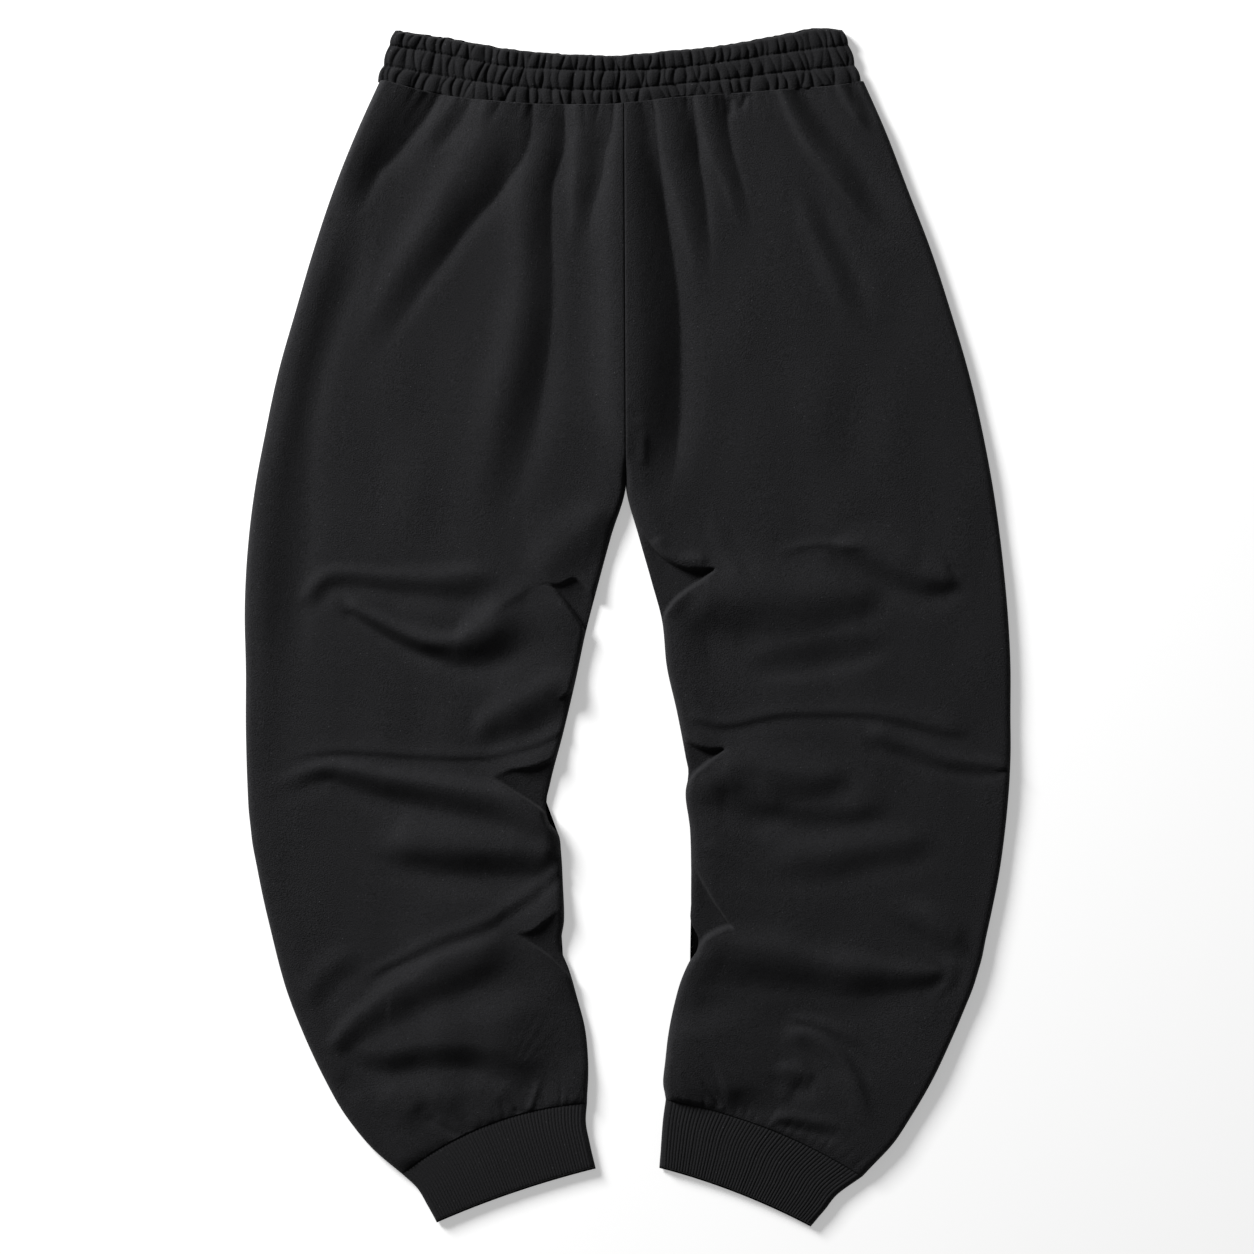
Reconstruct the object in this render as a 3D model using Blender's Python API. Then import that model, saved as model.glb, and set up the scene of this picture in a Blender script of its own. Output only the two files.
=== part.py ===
"""Jogger sweatpants laid flat on their front, back upwards, as seven sewn pieces.

The waistband is at +Y, the cuffs at -Y, and the garment rests on the plane z = 0.  Two under panels (the
fronts) lie flat, two upper panels (the backs) lie on them with rolled edges and soft folds, and a gathered
waistband and two ribbed cuffs close the ends as flattened tubes.  Plain numbers in the tables and functions
are millimetres; meshes are written in metres.
"""

import math
from collections import namedtuple

import bmesh
import bpy
import numpy as np

MM = 0.001

# ---------------------------------------------------------------- driving sizes, in millimetres
CLOTH = 1.8             # brushed fleece wall
CENTRE = (0.6, -1.1)    # middle of the tables' outline, which becomes the origin
WAIST_GAP = 0.4         # between the waistband and the panels
CUFF_GAP = 0.6          # between a cuff and its leg, whose chords differ
SIDE_GAP = 0.3          # between an upper and an under panel, and along the centre seams
LAYER_GAP = 0.5         # least room between two layers that lie on each other
SEAM_HEIGHT = 3.2       # the side seams and inseams run at this height
UPPER_ROLL = 6.0        # width of the rounded edge of an upper panel
UNDER_ROLL = 5.0        # the same of an under panel

REST_HEIGHT = 7.0       # top of the upper panels where no fold passes
LOWEST_TOP = 4.7        # deepest a hollow goes
WAIST_TOP = 7.4         # top of the upper panels at the waist seam
CUFF_TOP = 5.6          # top of the upper panels at the cuff seams
WAIST_EASE = 26.0       # length over which the panel settles from the waist seam
CUFF_EASE = 15.0        # the same above a cuff, where the leg bulges over it
EDGE_PUFF = 3.0         # a folded edge stands this much prouder than the rest
EDGE_PUFF_AT = 13.0     # distance of that crest from the edge
EDGE_PUFF_WIDTH = 12.0
NARROWEST_FOLD = 11.0   # half width of the sharpest crease these panels carry

CENTRE_TOP = (-2.5, 443.5)      # the centre seams run straight from here
CROTCH = (-1.0, 118.0)          # to here, where the legs part
CROTCH_TURN = 30.0      # length over which the centre seam turns under above the crotch

GATHERS = 54            # across the waistband, in each channel
CHANNELS = 3
RINGS_PER_CHANNEL = 3
BAND_UNDER = 3.6        # under layer of the waistband
BAND_SLIT = 0.6
BAND_GROOVE = 6.8       # top of the band along its stitch rows
BAND_BULGE = 2.2        # height of a channel over them
BAND_WALL = 4.0         # wall at the two ends
BAND_ROLL = 4.5
BAND_MIDDLE = 3.9
GATHER_RELIEF = (0.35, 1.05)    # at a stitch row, and what a channel adds to it

RIBS = 55               # across each cuff
RIB_RELIEF = 0.35
CUFF_UNDER = 2.4
CUFF_SLIT = 0.6
CUFF_CROWN = 0.5        # the upper layer is this much higher half way down
CUFF_WALL = 2.8
CUFF_ROLL = 3.2
CUFF_MIDDLE = 2.7
HEM_REACH = 0.025       # the under layer of a hem shows this far past the upper one, in cuff lengths

EDGE_ANGLES = (0.0, 30.0, 60.0)     # points of a rounded edge, from its outermost point up
UPPER_COLUMNS = 17
UNDER_COLUMNS = 10
TUBE_UNDER_COLUMNS = 18
BAND_SLIT_COLUMNS = 42
CUFF_SLIT_COLUMNS = 18
UPPER_STEPS = (13, 39)  # rows of an upper panel above and below the crotch
UNDER_STEPS = (7, 16)   # the same of an under panel

# ---------------------------------------------------------------- outline, a row for each section
# Sections of a leg from the waist seam to the cuff seam, and of a cuff from its seam to its hem.  The outer
# and inner ends are points of the outline; bow lifts the middle of the section towards the waist.
Section = namedtuple("Section", "outer_x outer_y inner_x inner_y bow")

LEFT_LEG = [Section(*row) for row in (
    (-210.0, 464.0, *CENTRE_TOP, -8.0),
    (-229.5, 421.5, -2.4, 400.5, -5.0),
    (-250.0, 370.5, -2.2, 345.0, -2.0),
    (-267.0, 319.5, -1.9, 290.0, 0.0),
    (-282.0, 268.5, -1.6, 234.5, 0.0),
    (-296.5, 217.5, -1.3, 179.5, 0.0),
    (-307.5, 166.5, *CROTCH, 0.0),
    (-317.0, 115.5, -13.0, 78.0, 0.0),
    (-323.0, 64.5, -24.0, 37.5, 0.0),
    (-325.5, 13.5, -35.0, -5.0, 0.0),
    (-324.5, -37.5, -44.0, -47.5, 0.0),
    (-324.5, -88.5, -54.5, -92.0, 0.0),
    (-323.0, -139.5, -65.5, -134.5, 0.0),
    (-322.0, -158.0, -69.0, -153.0, 0.0),
    (-320.5, -171.5, -66.5, -166.0, 0.0),
    (-319.0, -184.5, -58.5, -177.0, 0.0),
    (-315.5, -203.0, -56.0, -194.0, 0.0),
    (-310.0, -230.5, -54.5, -220.0, 0.0),
    (-302.5, -262.5, -53.5, -250.0, 0.0),
    (-295.0, -292.5, -56.0, -275.5, 0.0),
    (-290.0, -309.5, -50.0, -290.5, 0.0),
    (-277.0, -343.5, -42.5, -316.0, 0.0),
    (-258.5, -383.5, -35.5, -343.5, 2.0),
    (-239.0, -417.5, -33.0, -370.5, 6.0),
    (-216.0, -445.5, -33.0, -389.5, 10.0),
    (-192.0, -466.0, -33.0, -405.5, 13.0),
)]

RIGHT_LEG = [Section(*row) for row in (
    (201.5, 463.0, *CENTRE_TOP, -1.0),
    (220.0, 421.5, -2.4, 400.5, 0.0),
    (239.5, 370.5, -2.2, 345.0, 0.0),
    (259.0, 319.5, -1.9, 290.0, 0.0),
    (275.5, 268.5, -1.6, 234.5, 0.0),
    (290.5, 217.5, -1.3, 179.5, 0.0),
    (302.5, 166.5, *CROTCH, 0.0),
    (312.0, 115.5, 9.5, 78.0, 0.0),
    (319.0, 64.5, 21.0, 37.5, 0.0),
    (324.0, 13.5, 30.0, 3.5, 0.0),
    (326.5, -33.0, 34.0, -35.5, 0.0),
    (326.5, -75.5, 42.5, -73.0, 0.0),
    (326.5, -114.0, 50.0, -112.0, 0.0),
    (325.5, -135.0, 52.5, -126.5, 0.0),
    (324.5, -148.0, 50.0, -139.5, 0.0),
    (321.5, -177.5, 53.5, -171.5, 0.0),
    (317.0, -210.0, 54.5, -204.0, 0.0),
    (310.0, -245.5, 54.5, -237.0, 0.0),
    (304.5, -271.0, 55.0, -253.5, 0.0),
    (302.5, -281.5, 60.5, -265.0, 0.0),
    (299.0, -294.0, 59.5, -276.0, 0.0),
    (295.0, -307.0, 53.5, -285.0, 0.0),
    (288.0, -324.5, 47.0, -299.0, 0.0),
    (274.5, -356.0, 40.0, -323.0, 0.0),
    (259.0, -388.5, 35.0, -348.5, 2.0),
    (242.0, -417.5, 32.5, -370.5, 4.0),
    (225.0, -443.0, 30.5, -389.5, 7.0),
    (202.5, -468.5, 31.5, -403.0, 9.0),
)]

LEFT_CUFF = [Section(*row) for row in (
    (-192.0, -466.0, -34.0, -405.5, 13.0),
    (-179.5, -477.5, -35.0, -421.5, 10.0),
    (-170.0, -493.0, -31.5, -441.0, 7.0),
    (-162.5, -506.5, -27.0, -460.5, 3.0),
)]

RIGHT_CUFF = [Section(*row) for row in (
    (200.5, -468.5, 33.0, -403.0, 9.0),
    (178.5, -484.5, 30.5, -421.5, 8.0),
    (168.5, -497.0, 29.0, -441.0, 6.0),
    (157.0, -510.0, 28.0, -460.0, 4.0),
)]

# The waistband's four lines, read at places from its left end (-1) to its right end (1).
BandPlace = namedtuple("BandPlace", "place top upper_stitch lower_stitch seam")

BAND_LINES = [BandPlace(*row) for row in (
    (-1.00, 506.5, 494.5, 477.0, 465.0),
    (-0.75, 499.5, 486.0, 468.0, 452.5),
    (-0.50, 491.0, 476.5, 460.5, 446.0),
    (-0.25, 487.0, 473.5, 456.5, 443.7),
    (0.00, 486.0, 472.6, 456.5, 444.3),
    (0.25, 490.0, 475.0, 461.0, 450.0),
    (0.50, 495.0, 481.0, 466.0, 453.5),
    (0.75, 503.5, 488.5, 472.3, 457.5),
    (0.92, 509.0, 492.5, 475.5, 460.5),
    (1.00, 507.5, 494.5, 477.0, 463.5),
)]
BAND_LEFT = (-197.0, -15.0)     # left end at the top, and how far it has moved at the seam
BAND_RIGHT = (183.0, 16.0)
BAND_END_BULGE = 1.5            # each channel stands out this much at both ends

# ---------------------------------------------------------------- the largest folds
# A fold runs along its path.  Height is the crest over the cloth round it, or the depth of a hollow where it
# is negative; left and right are its half widths on each side of the way it runs, and start and end the
# share of its length over which it rises and dies away.
Fold = namedtuple("Fold", "name path height left right start end")

HIP_FOLDS = [Fold(*row) for row in (
    ("left side hollow", [(-172, 447), (-225, 379), (-278, 235), (-299, -20)], -3.5, 10, 14, 0, 0.3),
    ("left waist ridge 1", [(-108, 443), (-118, 405), (-159, 358), (-189, 315)], 4, 13, 13, 0, 0.5),
    ("left waist dip 1", [(-86, 441), (-100, 401), (-143, 359), (-198, 282)], -5, 7, 14, 0, 0.45),
    ("left waist ridge 2", [(-71, 440), (-76, 396), (-91, 337)], 4, 9, 10, 0, 0.6),
    ("left waist dip 2", [(-56, 443), (-60, 400), (-76, 241), (-105, 100)], -5, 8, 12, 0, 0.7),
    ("left waist ridge 3", [(-38, 440), (-42, 392), (-51, 328)], 4, 8, 9, 0, 0.6),
    ("left waist dip 3", [(-18, 439), (-29, 388), (-37, 337)], -4, 7, 9, 0, 0.6),
    ("seat valley", [(9, 442), (14, 362), (18, 277), (20, 145)], -5, 11, 10, 0, 0.3),
    ("right waist ridge 1", [(35, 442), (42, 362), (52, 277)], 3.5, 9, 9, 0, 0.6),
    ("right waist dip 1", [(52, 445), (54, 397), (62, 325)], -4, 7, 8, 0, 0.6),
    ("right waist ridge 2", [(67, 444), (72, 388), (83, 328)], 3, 8, 8, 0, 0.6),
    ("right waist dip 2", [(82, 445), (85, 405), (98, 363), (110, 320)], -3, 6, 8, 0, 0.6),
    ("right waist dip 3", [(140, 447), (170, 405), (204, 363), (221, 342)], -3.5, 7, 10, 0, 0.5),
)]

LEG_FOLDS = [Fold(*row) for row in (
    ("left knee hollow", [(-271, 12), (-232, 42), (-181, 37), (-108, 36)], -3, 7, 14, 0.15, 0.3),
    ("left knee roll", [(-252, 34), (-207, 12), (-160, -8), (-120, -12), (-73, 27)], 9, 24, 7, 0.2, 0.15),
    ("left knee tuck", [(-76, 36), (-54, 14), (-36, -12)], 6, 3, 22, 0.1, 0),
    ("left mid swell", [(-150, -82), (-108, -59), (-55, -36)], 6, 30, 18, 0.3, 0),
    ("left calf roll", [(-299, -139), (-197, -124), (-133, -133), (-64, -172)], 8, 10, 16, 0.2, 0),
    ("left calf pocket", [(-98, -124), (-81, -133), (-64, -136)], -6, 8, 10, 0.2, 0),
    ("left calf swell", [(-227, -169), (-167, -180), (-108, -175), (-60, -186)], 6, 22, 14, 0.25, 0),
    ("left calf hollow", [(-201, -206), (-150, -216), (-57, -206)], -3, 12, 20, 0.25, 0),
    ("left shin roll", [(-252, -345), (-186, -288), (-135, -268), (-55, -220)], 9, 22, 14, 0.2, 0),
    ("left shin pocket", [(-93, -260), (-74, -265), (-54, -265)], -6, 9, 11, 0.2, 0),
    ("left ankle roll", [(-214, -352), (-167, -343), (-125, -348), (-77, -379)], 7, 24, 9, 0.25, 0.2),
    ("right thigh tuck", [(31, 11), (52, 31), (74, 48)], 7, 3, 24, 0, 0.1),
    ("right thigh hollow", [(20, 71), (45, 55), (74, 50)], -5, 5, 6, 0, 0.1),
    ("right knee swell", [(62, 29), (113, 37), (173, 39), (224, 31)], 6, 24, 20, 0.2, 0.3),
    ("right knee crease", [(113, 56), (157, 68), (224, 54), (285, 48)], 6, 18, 6, 0.3, 0.2),
    ("right calf roll", [(58, -91), (157, -86), (211, -88), (310, -109)], 4, 6, 14, 0.1, 0.2),
    ("right calf tuck", [(52, -138), (66, -121), (85, -105)], 7, 3, 22, 0, 0.1),
    ("right calf swell", [(88, -105), (147, -102), (215, -105)], 5, 18, 22, 0.2, 0.3),
    ("right calf hollow", [(75, -156), (147, -165), (215, -150)], -3, 14, 12, 0.2, 0.3),
    ("right low roll", [(75, -175), (136, -189), (221, -186), (275, -175)], 4, 14, 12, 0.2, 0.3),
    ("right shin pocket", [(55, -246), (69, -254), (86, -255)], -5, 12, 8, 0, 0.2),
    ("right outer crease", [(219, -243), (263, -255), (304, -282)], 6, 16, 7, 0.3, 0.1),
    ("right shin roll", [(66, -275), (136, -280), (200, -289), (290, -280)], 9, 34, 8, 0.1, 0.15),
    ("right ankle arc", [(117, -352), (157, -362), (183, -388), (196, -442)], 4, 10, 10, 0.2, 0.2),
)]

FOLD_PATH_STEPS = 12

# Colours are those of each piece's cloth; the last number is roughness.
FLEECE = (0.0176, 0.0176, 0.0194, 0.92)
BAND_FLEECE = (0.0168, 0.0168, 0.0185, 0.90)
RIBBING = (0.0137, 0.0137, 0.0150, 0.88)


# ---------------------------------------------------------------- curves through a table
def through(knots, values, places):
    """A smooth curve through values at knots, read at places; values may have several columns."""
    knots = np.asarray(knots, float)
    values = np.asarray(values, float)
    places = np.asarray(places, float)
    slopes = np.gradient(values, knots, axis=0)
    before = np.clip(np.searchsorted(knots, places, side="right") - 1, 0, len(knots) - 2)
    step = knots[before + 1] - knots[before]
    f = (places - knots[before]) / step
    if values.ndim > 1:
        f = f[:, None]
        step = step[:, None]
    start = (2 * f**3 - 3 * f**2 + 1) * values[before] + (f**3 - 2 * f**2 + f) * step * slopes[before]
    end = (3 * f**2 - 2 * f**3) * values[before + 1] + (f**3 - f**2) * step * slopes[before + 1]
    return start + end


def ease(f):
    """0 to 1 with level ends."""
    f = np.clip(f, 0.0, 1.0)
    return f * f * (3.0 - 2.0 * f)


def middle_lengths(sections):
    """Length from the first section to each section, along the middle of the piece."""
    middles = np.array([((s.outer_x + s.inner_x) / 2, (s.outer_y + s.inner_y) / 2) for s in sections])
    steps = np.linalg.norm(np.diff(middles, axis=0), axis=1)
    return np.concatenate([[0.0], np.cumsum(steps)])


def section_points(section, distance, side):
    """Points of one section at distances from its outer end; side is 1 on the left leg and -1 on the right."""
    outer = np.array([section[0], section[1]])
    across = np.array([section[2], section[3]]) - outer
    width = np.linalg.norm(across)
    across = across / width
    towards_waist = side * np.array([-across[1], across[0]])
    f = distance / width
    bow = section[4] * 4.0 * f * (1.0 - f)
    return outer + distance[:, None] * across + bow[:, None] * towards_waist


def section_width(section):
    return math.hypot(section[2] - section[0], section[3] - section[1])


# ---------------------------------------------------------------- the upper panels' relief
def fold_relief(x, y, folds):
    """Height that the folds add at each point."""
    relief = np.zeros_like(x)
    for fold in folds:
        path = np.array(fold.path, float)
        path = through(range(len(path)), path, np.linspace(0, len(path) - 1, FOLD_PATH_STEPS + 1))
        nearest = np.full_like(x, np.inf)
        offset = np.zeros_like(x)
        along = np.zeros_like(x)
        for i, (a, b) in enumerate(zip(path, path[1:])):
            run = b - a
            f = np.clip(((x - a[0]) * run[0] + (y - a[1]) * run[1]) / (run @ run), 0.0, 1.0)
            dx = x - a[0] - f * run[0]
            dy = y - a[1] - f * run[1]
            distance = np.hypot(dx, dy)
            closer = distance < nearest
            nearest = np.where(closer, distance, nearest)
            offset = np.where(closer, np.sign(run[0] * dy - run[1] * dx) * distance, offset)
            along = np.where(closer, (i + f) / FOLD_PATH_STEPS, along)
        left = max(fold.left, NARROWEST_FOLD)
        right = max(fold.right, NARROWEST_FOLD)
        profile = np.exp(-(offset / np.where(offset > 0, left, right)) ** 2)
        strength = np.ones_like(x)
        if fold.start > 0:
            strength = strength * ease(along / fold.start)
        if fold.end > 0:
            strength = strength * ease((1.0 - along) / fold.end)
        relief += fold.height * profile * strength
    return relief


def upper_top(x, y, from_outer, from_inner, from_waist, from_cuff, parted):
    """Height of an upper panel's outer face."""
    puff = np.exp(-(((from_outer - EDGE_PUFF_AT) / EDGE_PUFF_WIDTH) ** 2))
    puff = puff + parted * np.exp(-(((from_inner - EDGE_PUFF_AT) / EDGE_PUFF_WIDTH) ** 2))
    height = REST_HEIGHT + EDGE_PUFF * puff + fold_relief(x, y, HIP_FOLDS + LEG_FOLDS)
    height = LOWEST_TOP + np.logaddexp(0.0, height - LOWEST_TOP)
    waist = ease(from_waist / WAIST_EASE)
    height = WAIST_TOP + (height - WAIST_TOP) * waist
    cuff = ease(from_cuff / CUFF_EASE)
    return CUFF_TOP + (height - CUFF_TOP) * cuff


# ---------------------------------------------------------------- meshes
def make_object(name, vertices, faces, colour):
    """One closed body from points in millimetres, with its faces turned out."""
    mesh = bpy.data.meshes.new(name)
    body = bmesh.new()
    corners = [body.verts.new(((x - CENTRE[0]) * MM, (y - CENTRE[1]) * MM, z * MM)) for x, y, z in vertices]
    for face in faces:
        body.faces.new([corners[i] for i in face])
    bmesh.ops.recalc_face_normals(body, faces=body.faces)
    if body.calc_volume(signed=True) < 0:
        bmesh.ops.reverse_faces(body, faces=body.faces)
    body.to_mesh(mesh)
    body.free()
    mesh.shade_smooth()
    mesh.set_sharp_from_angle(angle=math.radians(50))
    mesh.materials.append(cloth_material(name + "_cloth", colour))
    thing = bpy.data.objects.new(name, mesh)
    bpy.context.scene.collection.objects.link(thing)
    return thing


def cloth_material(name, colour):
    material = bpy.data.materials.new(name)
    material.use_nodes = True
    shader = material.node_tree.nodes["Principled BSDF"]
    shader.inputs["Base Color"].default_value = (colour[0], colour[1], colour[2], 1.0)
    shader.inputs["Roughness"].default_value = colour[3]
    shader.inputs["Metallic"].default_value = 0.0
    return material


def halves(a, b, c, d):
    """Two triangles of a quad, split along a-c, so that both faces of a wall fold along the same lines."""
    return [(a, b, c), (a, c, d)]


def wall_faces(rows, columns):
    """Faces of a wall whose outer grid comes first and whose inner grid follows, joined along all edges."""
    def outer(r, c):
        return r * columns + c

    def inner(r, c):
        return rows * columns + r * columns + c

    faces = []
    for r in range(rows - 1):
        for c in range(columns - 1):
            for at in (outer, inner):
                faces += halves(at(r, c), at(r + 1, c), at(r + 1, c + 1), at(r, c + 1))
    for r in range(rows - 1):
        for c in (0, columns - 1):
            faces += halves(outer(r, c), outer(r + 1, c), inner(r + 1, c), inner(r, c))
    for c in range(columns - 1):
        for r in (0, rows - 1):
            faces += halves(outer(r, c), outer(r, c + 1), inner(r, c + 1), inner(r, c))
    return faces


def panel_rows(sections, steps):
    """The table's sections read at evenly spaced rows, with closer rows beside the waist and the cuff."""
    lengths = middle_lengths(sections)
    crotch = lengths[[(s.inner_x, s.inner_y) for s in sections].index(CROTCH)]
    above = np.linspace(0.0, crotch, steps[0] + 1)
    below = np.linspace(crotch, lengths[-1], steps[1] + 1)[1:]
    close = [CUFF_EASE * 0.35, lengths[-1] - CUFF_EASE * 0.9, lengths[-1] - CUFF_EASE * 0.35]
    at = np.sort(np.concatenate([above, below, close]))
    return at, through(lengths, sections, at)


def edge_columns(width, roll, count):
    """Distances from the outer edge, and for each column the sine and cosine of its place on the roll."""
    angles = np.radians(EDGE_ANGLES)
    arc = roll * (1.0 - np.cos(angles))
    flat = np.linspace(roll, width - roll, count)
    distance = np.concatenate([arc, flat, (width - arc)[::-1]])
    lift = np.concatenate([np.sin(angles), np.ones(count), np.sin(angles)[::-1]])
    turn = np.concatenate([np.cos(angles), np.zeros(count), -np.cos(angles)[::-1]])
    return distance, lift, turn


def band_seam_y(x):
    """The waistband's lower line."""
    left = BAND_LEFT[0] + BAND_LEFT[1]
    right = BAND_RIGHT[0] + BAND_RIGHT[1]
    place = np.clip((2.0 * x - left - right) / (right - left), -1.0, 1.0)
    return through([row.place for row in BAND_LINES], [row.seam for row in BAND_LINES], place)


def centre_seam_x(y):
    """The centre seams' line, level with the crotch below it."""
    return np.interp(y, (CROTCH[1], CENTRE_TOP[1]), (CROTCH[0], CENTRE_TOP[0]))


def make_panel(name, sections, side, upper):
    """An upper panel (a back) or an under panel (a front) of one leg, from the waist seam to the cuff seam."""
    roll = UPPER_ROLL if upper else UNDER_ROLL
    count = UPPER_COLUMNS if upper else UNDER_COLUMNS
    at, rows = panel_rows(sections, UPPER_STEPS if upper else UNDER_STEPS)
    total = at[-1]
    outer_rows = []
    inner_rows = []
    details = []
    for length, row in zip(at, rows):
        beside_seam = centre_seam_x(row[3]) - side * SIDE_GAP / 2
        row[2] = min(row[2], beside_seam) if side > 0 else max(row[2], beside_seam)
        parted = float(ease((CROTCH[1] + CROTCH_TURN - row[3]) / CROTCH_TURN))
        width = section_width(row)
        distance, lift, turn = edge_columns(width, roll, count)
        on_inner_edge = distance > width / 2
        open_edge = np.where(on_inner_edge, parted, 1.0)
        outer_rows.append(section_points(row, distance, side))
        inner_rows.append(section_points(row, distance + CLOTH * turn * open_edge, side))
        details.append((distance, width - distance, lift, open_edge, length, total - length, parted))

    outer_xy = np.array(outer_rows)
    inner_xy = np.array(inner_rows)
    seam = band_seam_y(outer_xy[0, :, 0]) - WAIST_GAP
    shift = seam - outer_xy[0, :, 1]
    fade = (1.0 - ease(at / 60.0))[:, None]
    outer_xy[:, :, 1] += shift * fade
    inner_xy[:, :, 1] += shift * fade

    from_outer, from_inner, lift, open_edge = (np.array([d[i] for d in details]) for i in range(4))
    from_waist, from_cuff, parted = (np.array([d[i] for d in details])[:, None] for i in (4, 5, 6))
    rounding = open_edge * lift + (1.0 - open_edge)
    if upper:
        x, y = outer_xy[:, :, 0], outer_xy[:, :, 1]
        top = upper_top(x, y, from_outer, from_inner, from_waist, from_cuff, parted)
        seam_z = SEAM_HEIGHT + SIDE_GAP / 2
        outer_z = seam_z + (top - seam_z) * rounding
        along = np.gradient(top, axis=0) / np.hypot(np.gradient(x, axis=0), np.gradient(y, axis=0))
        across = np.gradient(top, axis=1) / np.hypot(np.gradient(x, axis=1), np.gradient(y, axis=1))
        thick = CLOTH * np.minimum(np.sqrt(1.0 + along**2 + across**2), 1.5)
        inner_z = np.maximum(outer_z - thick * rounding, np.where(rounding > 0.9, CLOTH + LAYER_GAP, seam_z))
        inner_z = np.where(rounding < 1e-6, seam_z, inner_z)
    else:
        seam_z = SEAM_HEIGHT - SIDE_GAP / 2
        outer_z = seam_z * (1.0 - rounding)
        inner_z = outer_z + CLOTH * rounding
    grid = outer_xy.shape[:2]
    vertices = [(*p, z) for p, z in zip(outer_xy.reshape(-1, 2), outer_z.ravel())]
    vertices += [(*p, z) for p, z in zip(inner_xy.reshape(-1, 2), inner_z.ravel())]
    return make_object(name, vertices, wall_faces(*grid), FLEECE)


# ---------------------------------------------------------------- flattened tubes
def tube_ring(place, t, width, columns, top, middle, roll, reach):
    """One ring round a flattened tube and the share of the way round of each point.

    place gives the point at a share of the width, and top the height there; the ring runs over the upper
    layer from left to right and back along the flat underside.
    """
    angles = np.radians(EDGE_ANGLES)
    arc = roll * (1.0 - np.cos(angles)) / width
    points = []
    turns = []

    def add(share, height, under):
        x, y = place(share, t + (reach if under else 0.0))
        points.append((x, y, height))
        turns.append(1.0 - share / 2 if under else share / 2)

    for share, angle in zip(arc, angles):
        add(share, middle + (top(share, t) - middle) * math.sin(angle), False)
    for share in columns:
        add(share, top(share, t), False)
    for share, angle in zip((1.0 - arc)[::-1], angles[::-1]):
        add(share, middle + (top(share, t) - middle) * math.sin(angle), False)
    for share, angle in zip((1.0 - arc)[1:], angles[1:]):
        add(share, middle * (1.0 - math.sin(angle)), True)
    for share in np.linspace(1.0 - roll / width, roll / width, TUBE_UNDER_COLUMNS):
        add(share, 0.0, True)
    for share, angle in zip(arc[:0:-1], angles[:0:-1]):
        add(share, middle * (1.0 - math.sin(angle)), True)
    return points, turns


def slit_ring(place, t, width, wall, low, high, count, reach):
    """The ring of the slit inside a flattened tube."""
    shares = np.linspace(wall / width, 1.0 - wall / width, count)
    points = [(*place(share, t), high) for share in shares]
    points += [(*place(share, t + reach), low) for share in shares[::-1]]
    turns = [share / 2 for share in shares] + [1.0 - share / 2 for share in shares[::-1]]
    return points, turns


def join_rings(first, first_turns, second, second_turns):
    """Triangles between two rings with unlike numbers of points, walking round both at once."""
    faces = []
    i = j = 0
    while i < len(first) or j < len(second):
        next_first = first_turns[i + 1] if i + 1 < len(first) else 1.0 + first_turns[0]
        next_second = second_turns[j + 1] if j + 1 < len(second) else 1.0 + second_turns[0]
        a, b = first[i % len(first)], second[j % len(second)]
        if j >= len(second) or (i < len(first) and next_first <= next_second):
            faces.append((a, first[(i + 1) % len(first)], b))
            i += 1
        else:
            faces.append((a, second[(j + 1) % len(second)], b))
            j += 1
    return faces


def make_tube(name, rings, slits, colour):
    """A tube from its outer rings and its slit's rings."""
    vertices = []
    loops = []
    for points, _ in list(rings) + list(slits):
        loops.append(range(len(vertices), len(vertices) + len(points)))
        vertices += points
    outer, inner = loops[:len(rings)], loops[len(rings):]
    faces = []
    for pairs in (outer, inner):
        for above, below in zip(pairs, pairs[1:]):
            for i in range(len(above)):
                j = (i + 1) % len(above)
                faces += halves(above[i], below[i], below[j], above[j])
    faces += join_rings(outer[0], rings[0][1], inner[0], slits[0][1])
    faces += join_rings(outer[-1], rings[-1][1], inner[-1], slits[-1][1])
    return make_object(name, vertices, faces, colour)


def gather_strength(column, channel):
    """How strong each gather is, uneven from one to the next and from channel to channel."""
    return 1.0 + 0.25 * math.sin(1.7 * column + 2.1 * channel) + 0.15 * math.sin(0.63 * column + channel)


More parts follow.
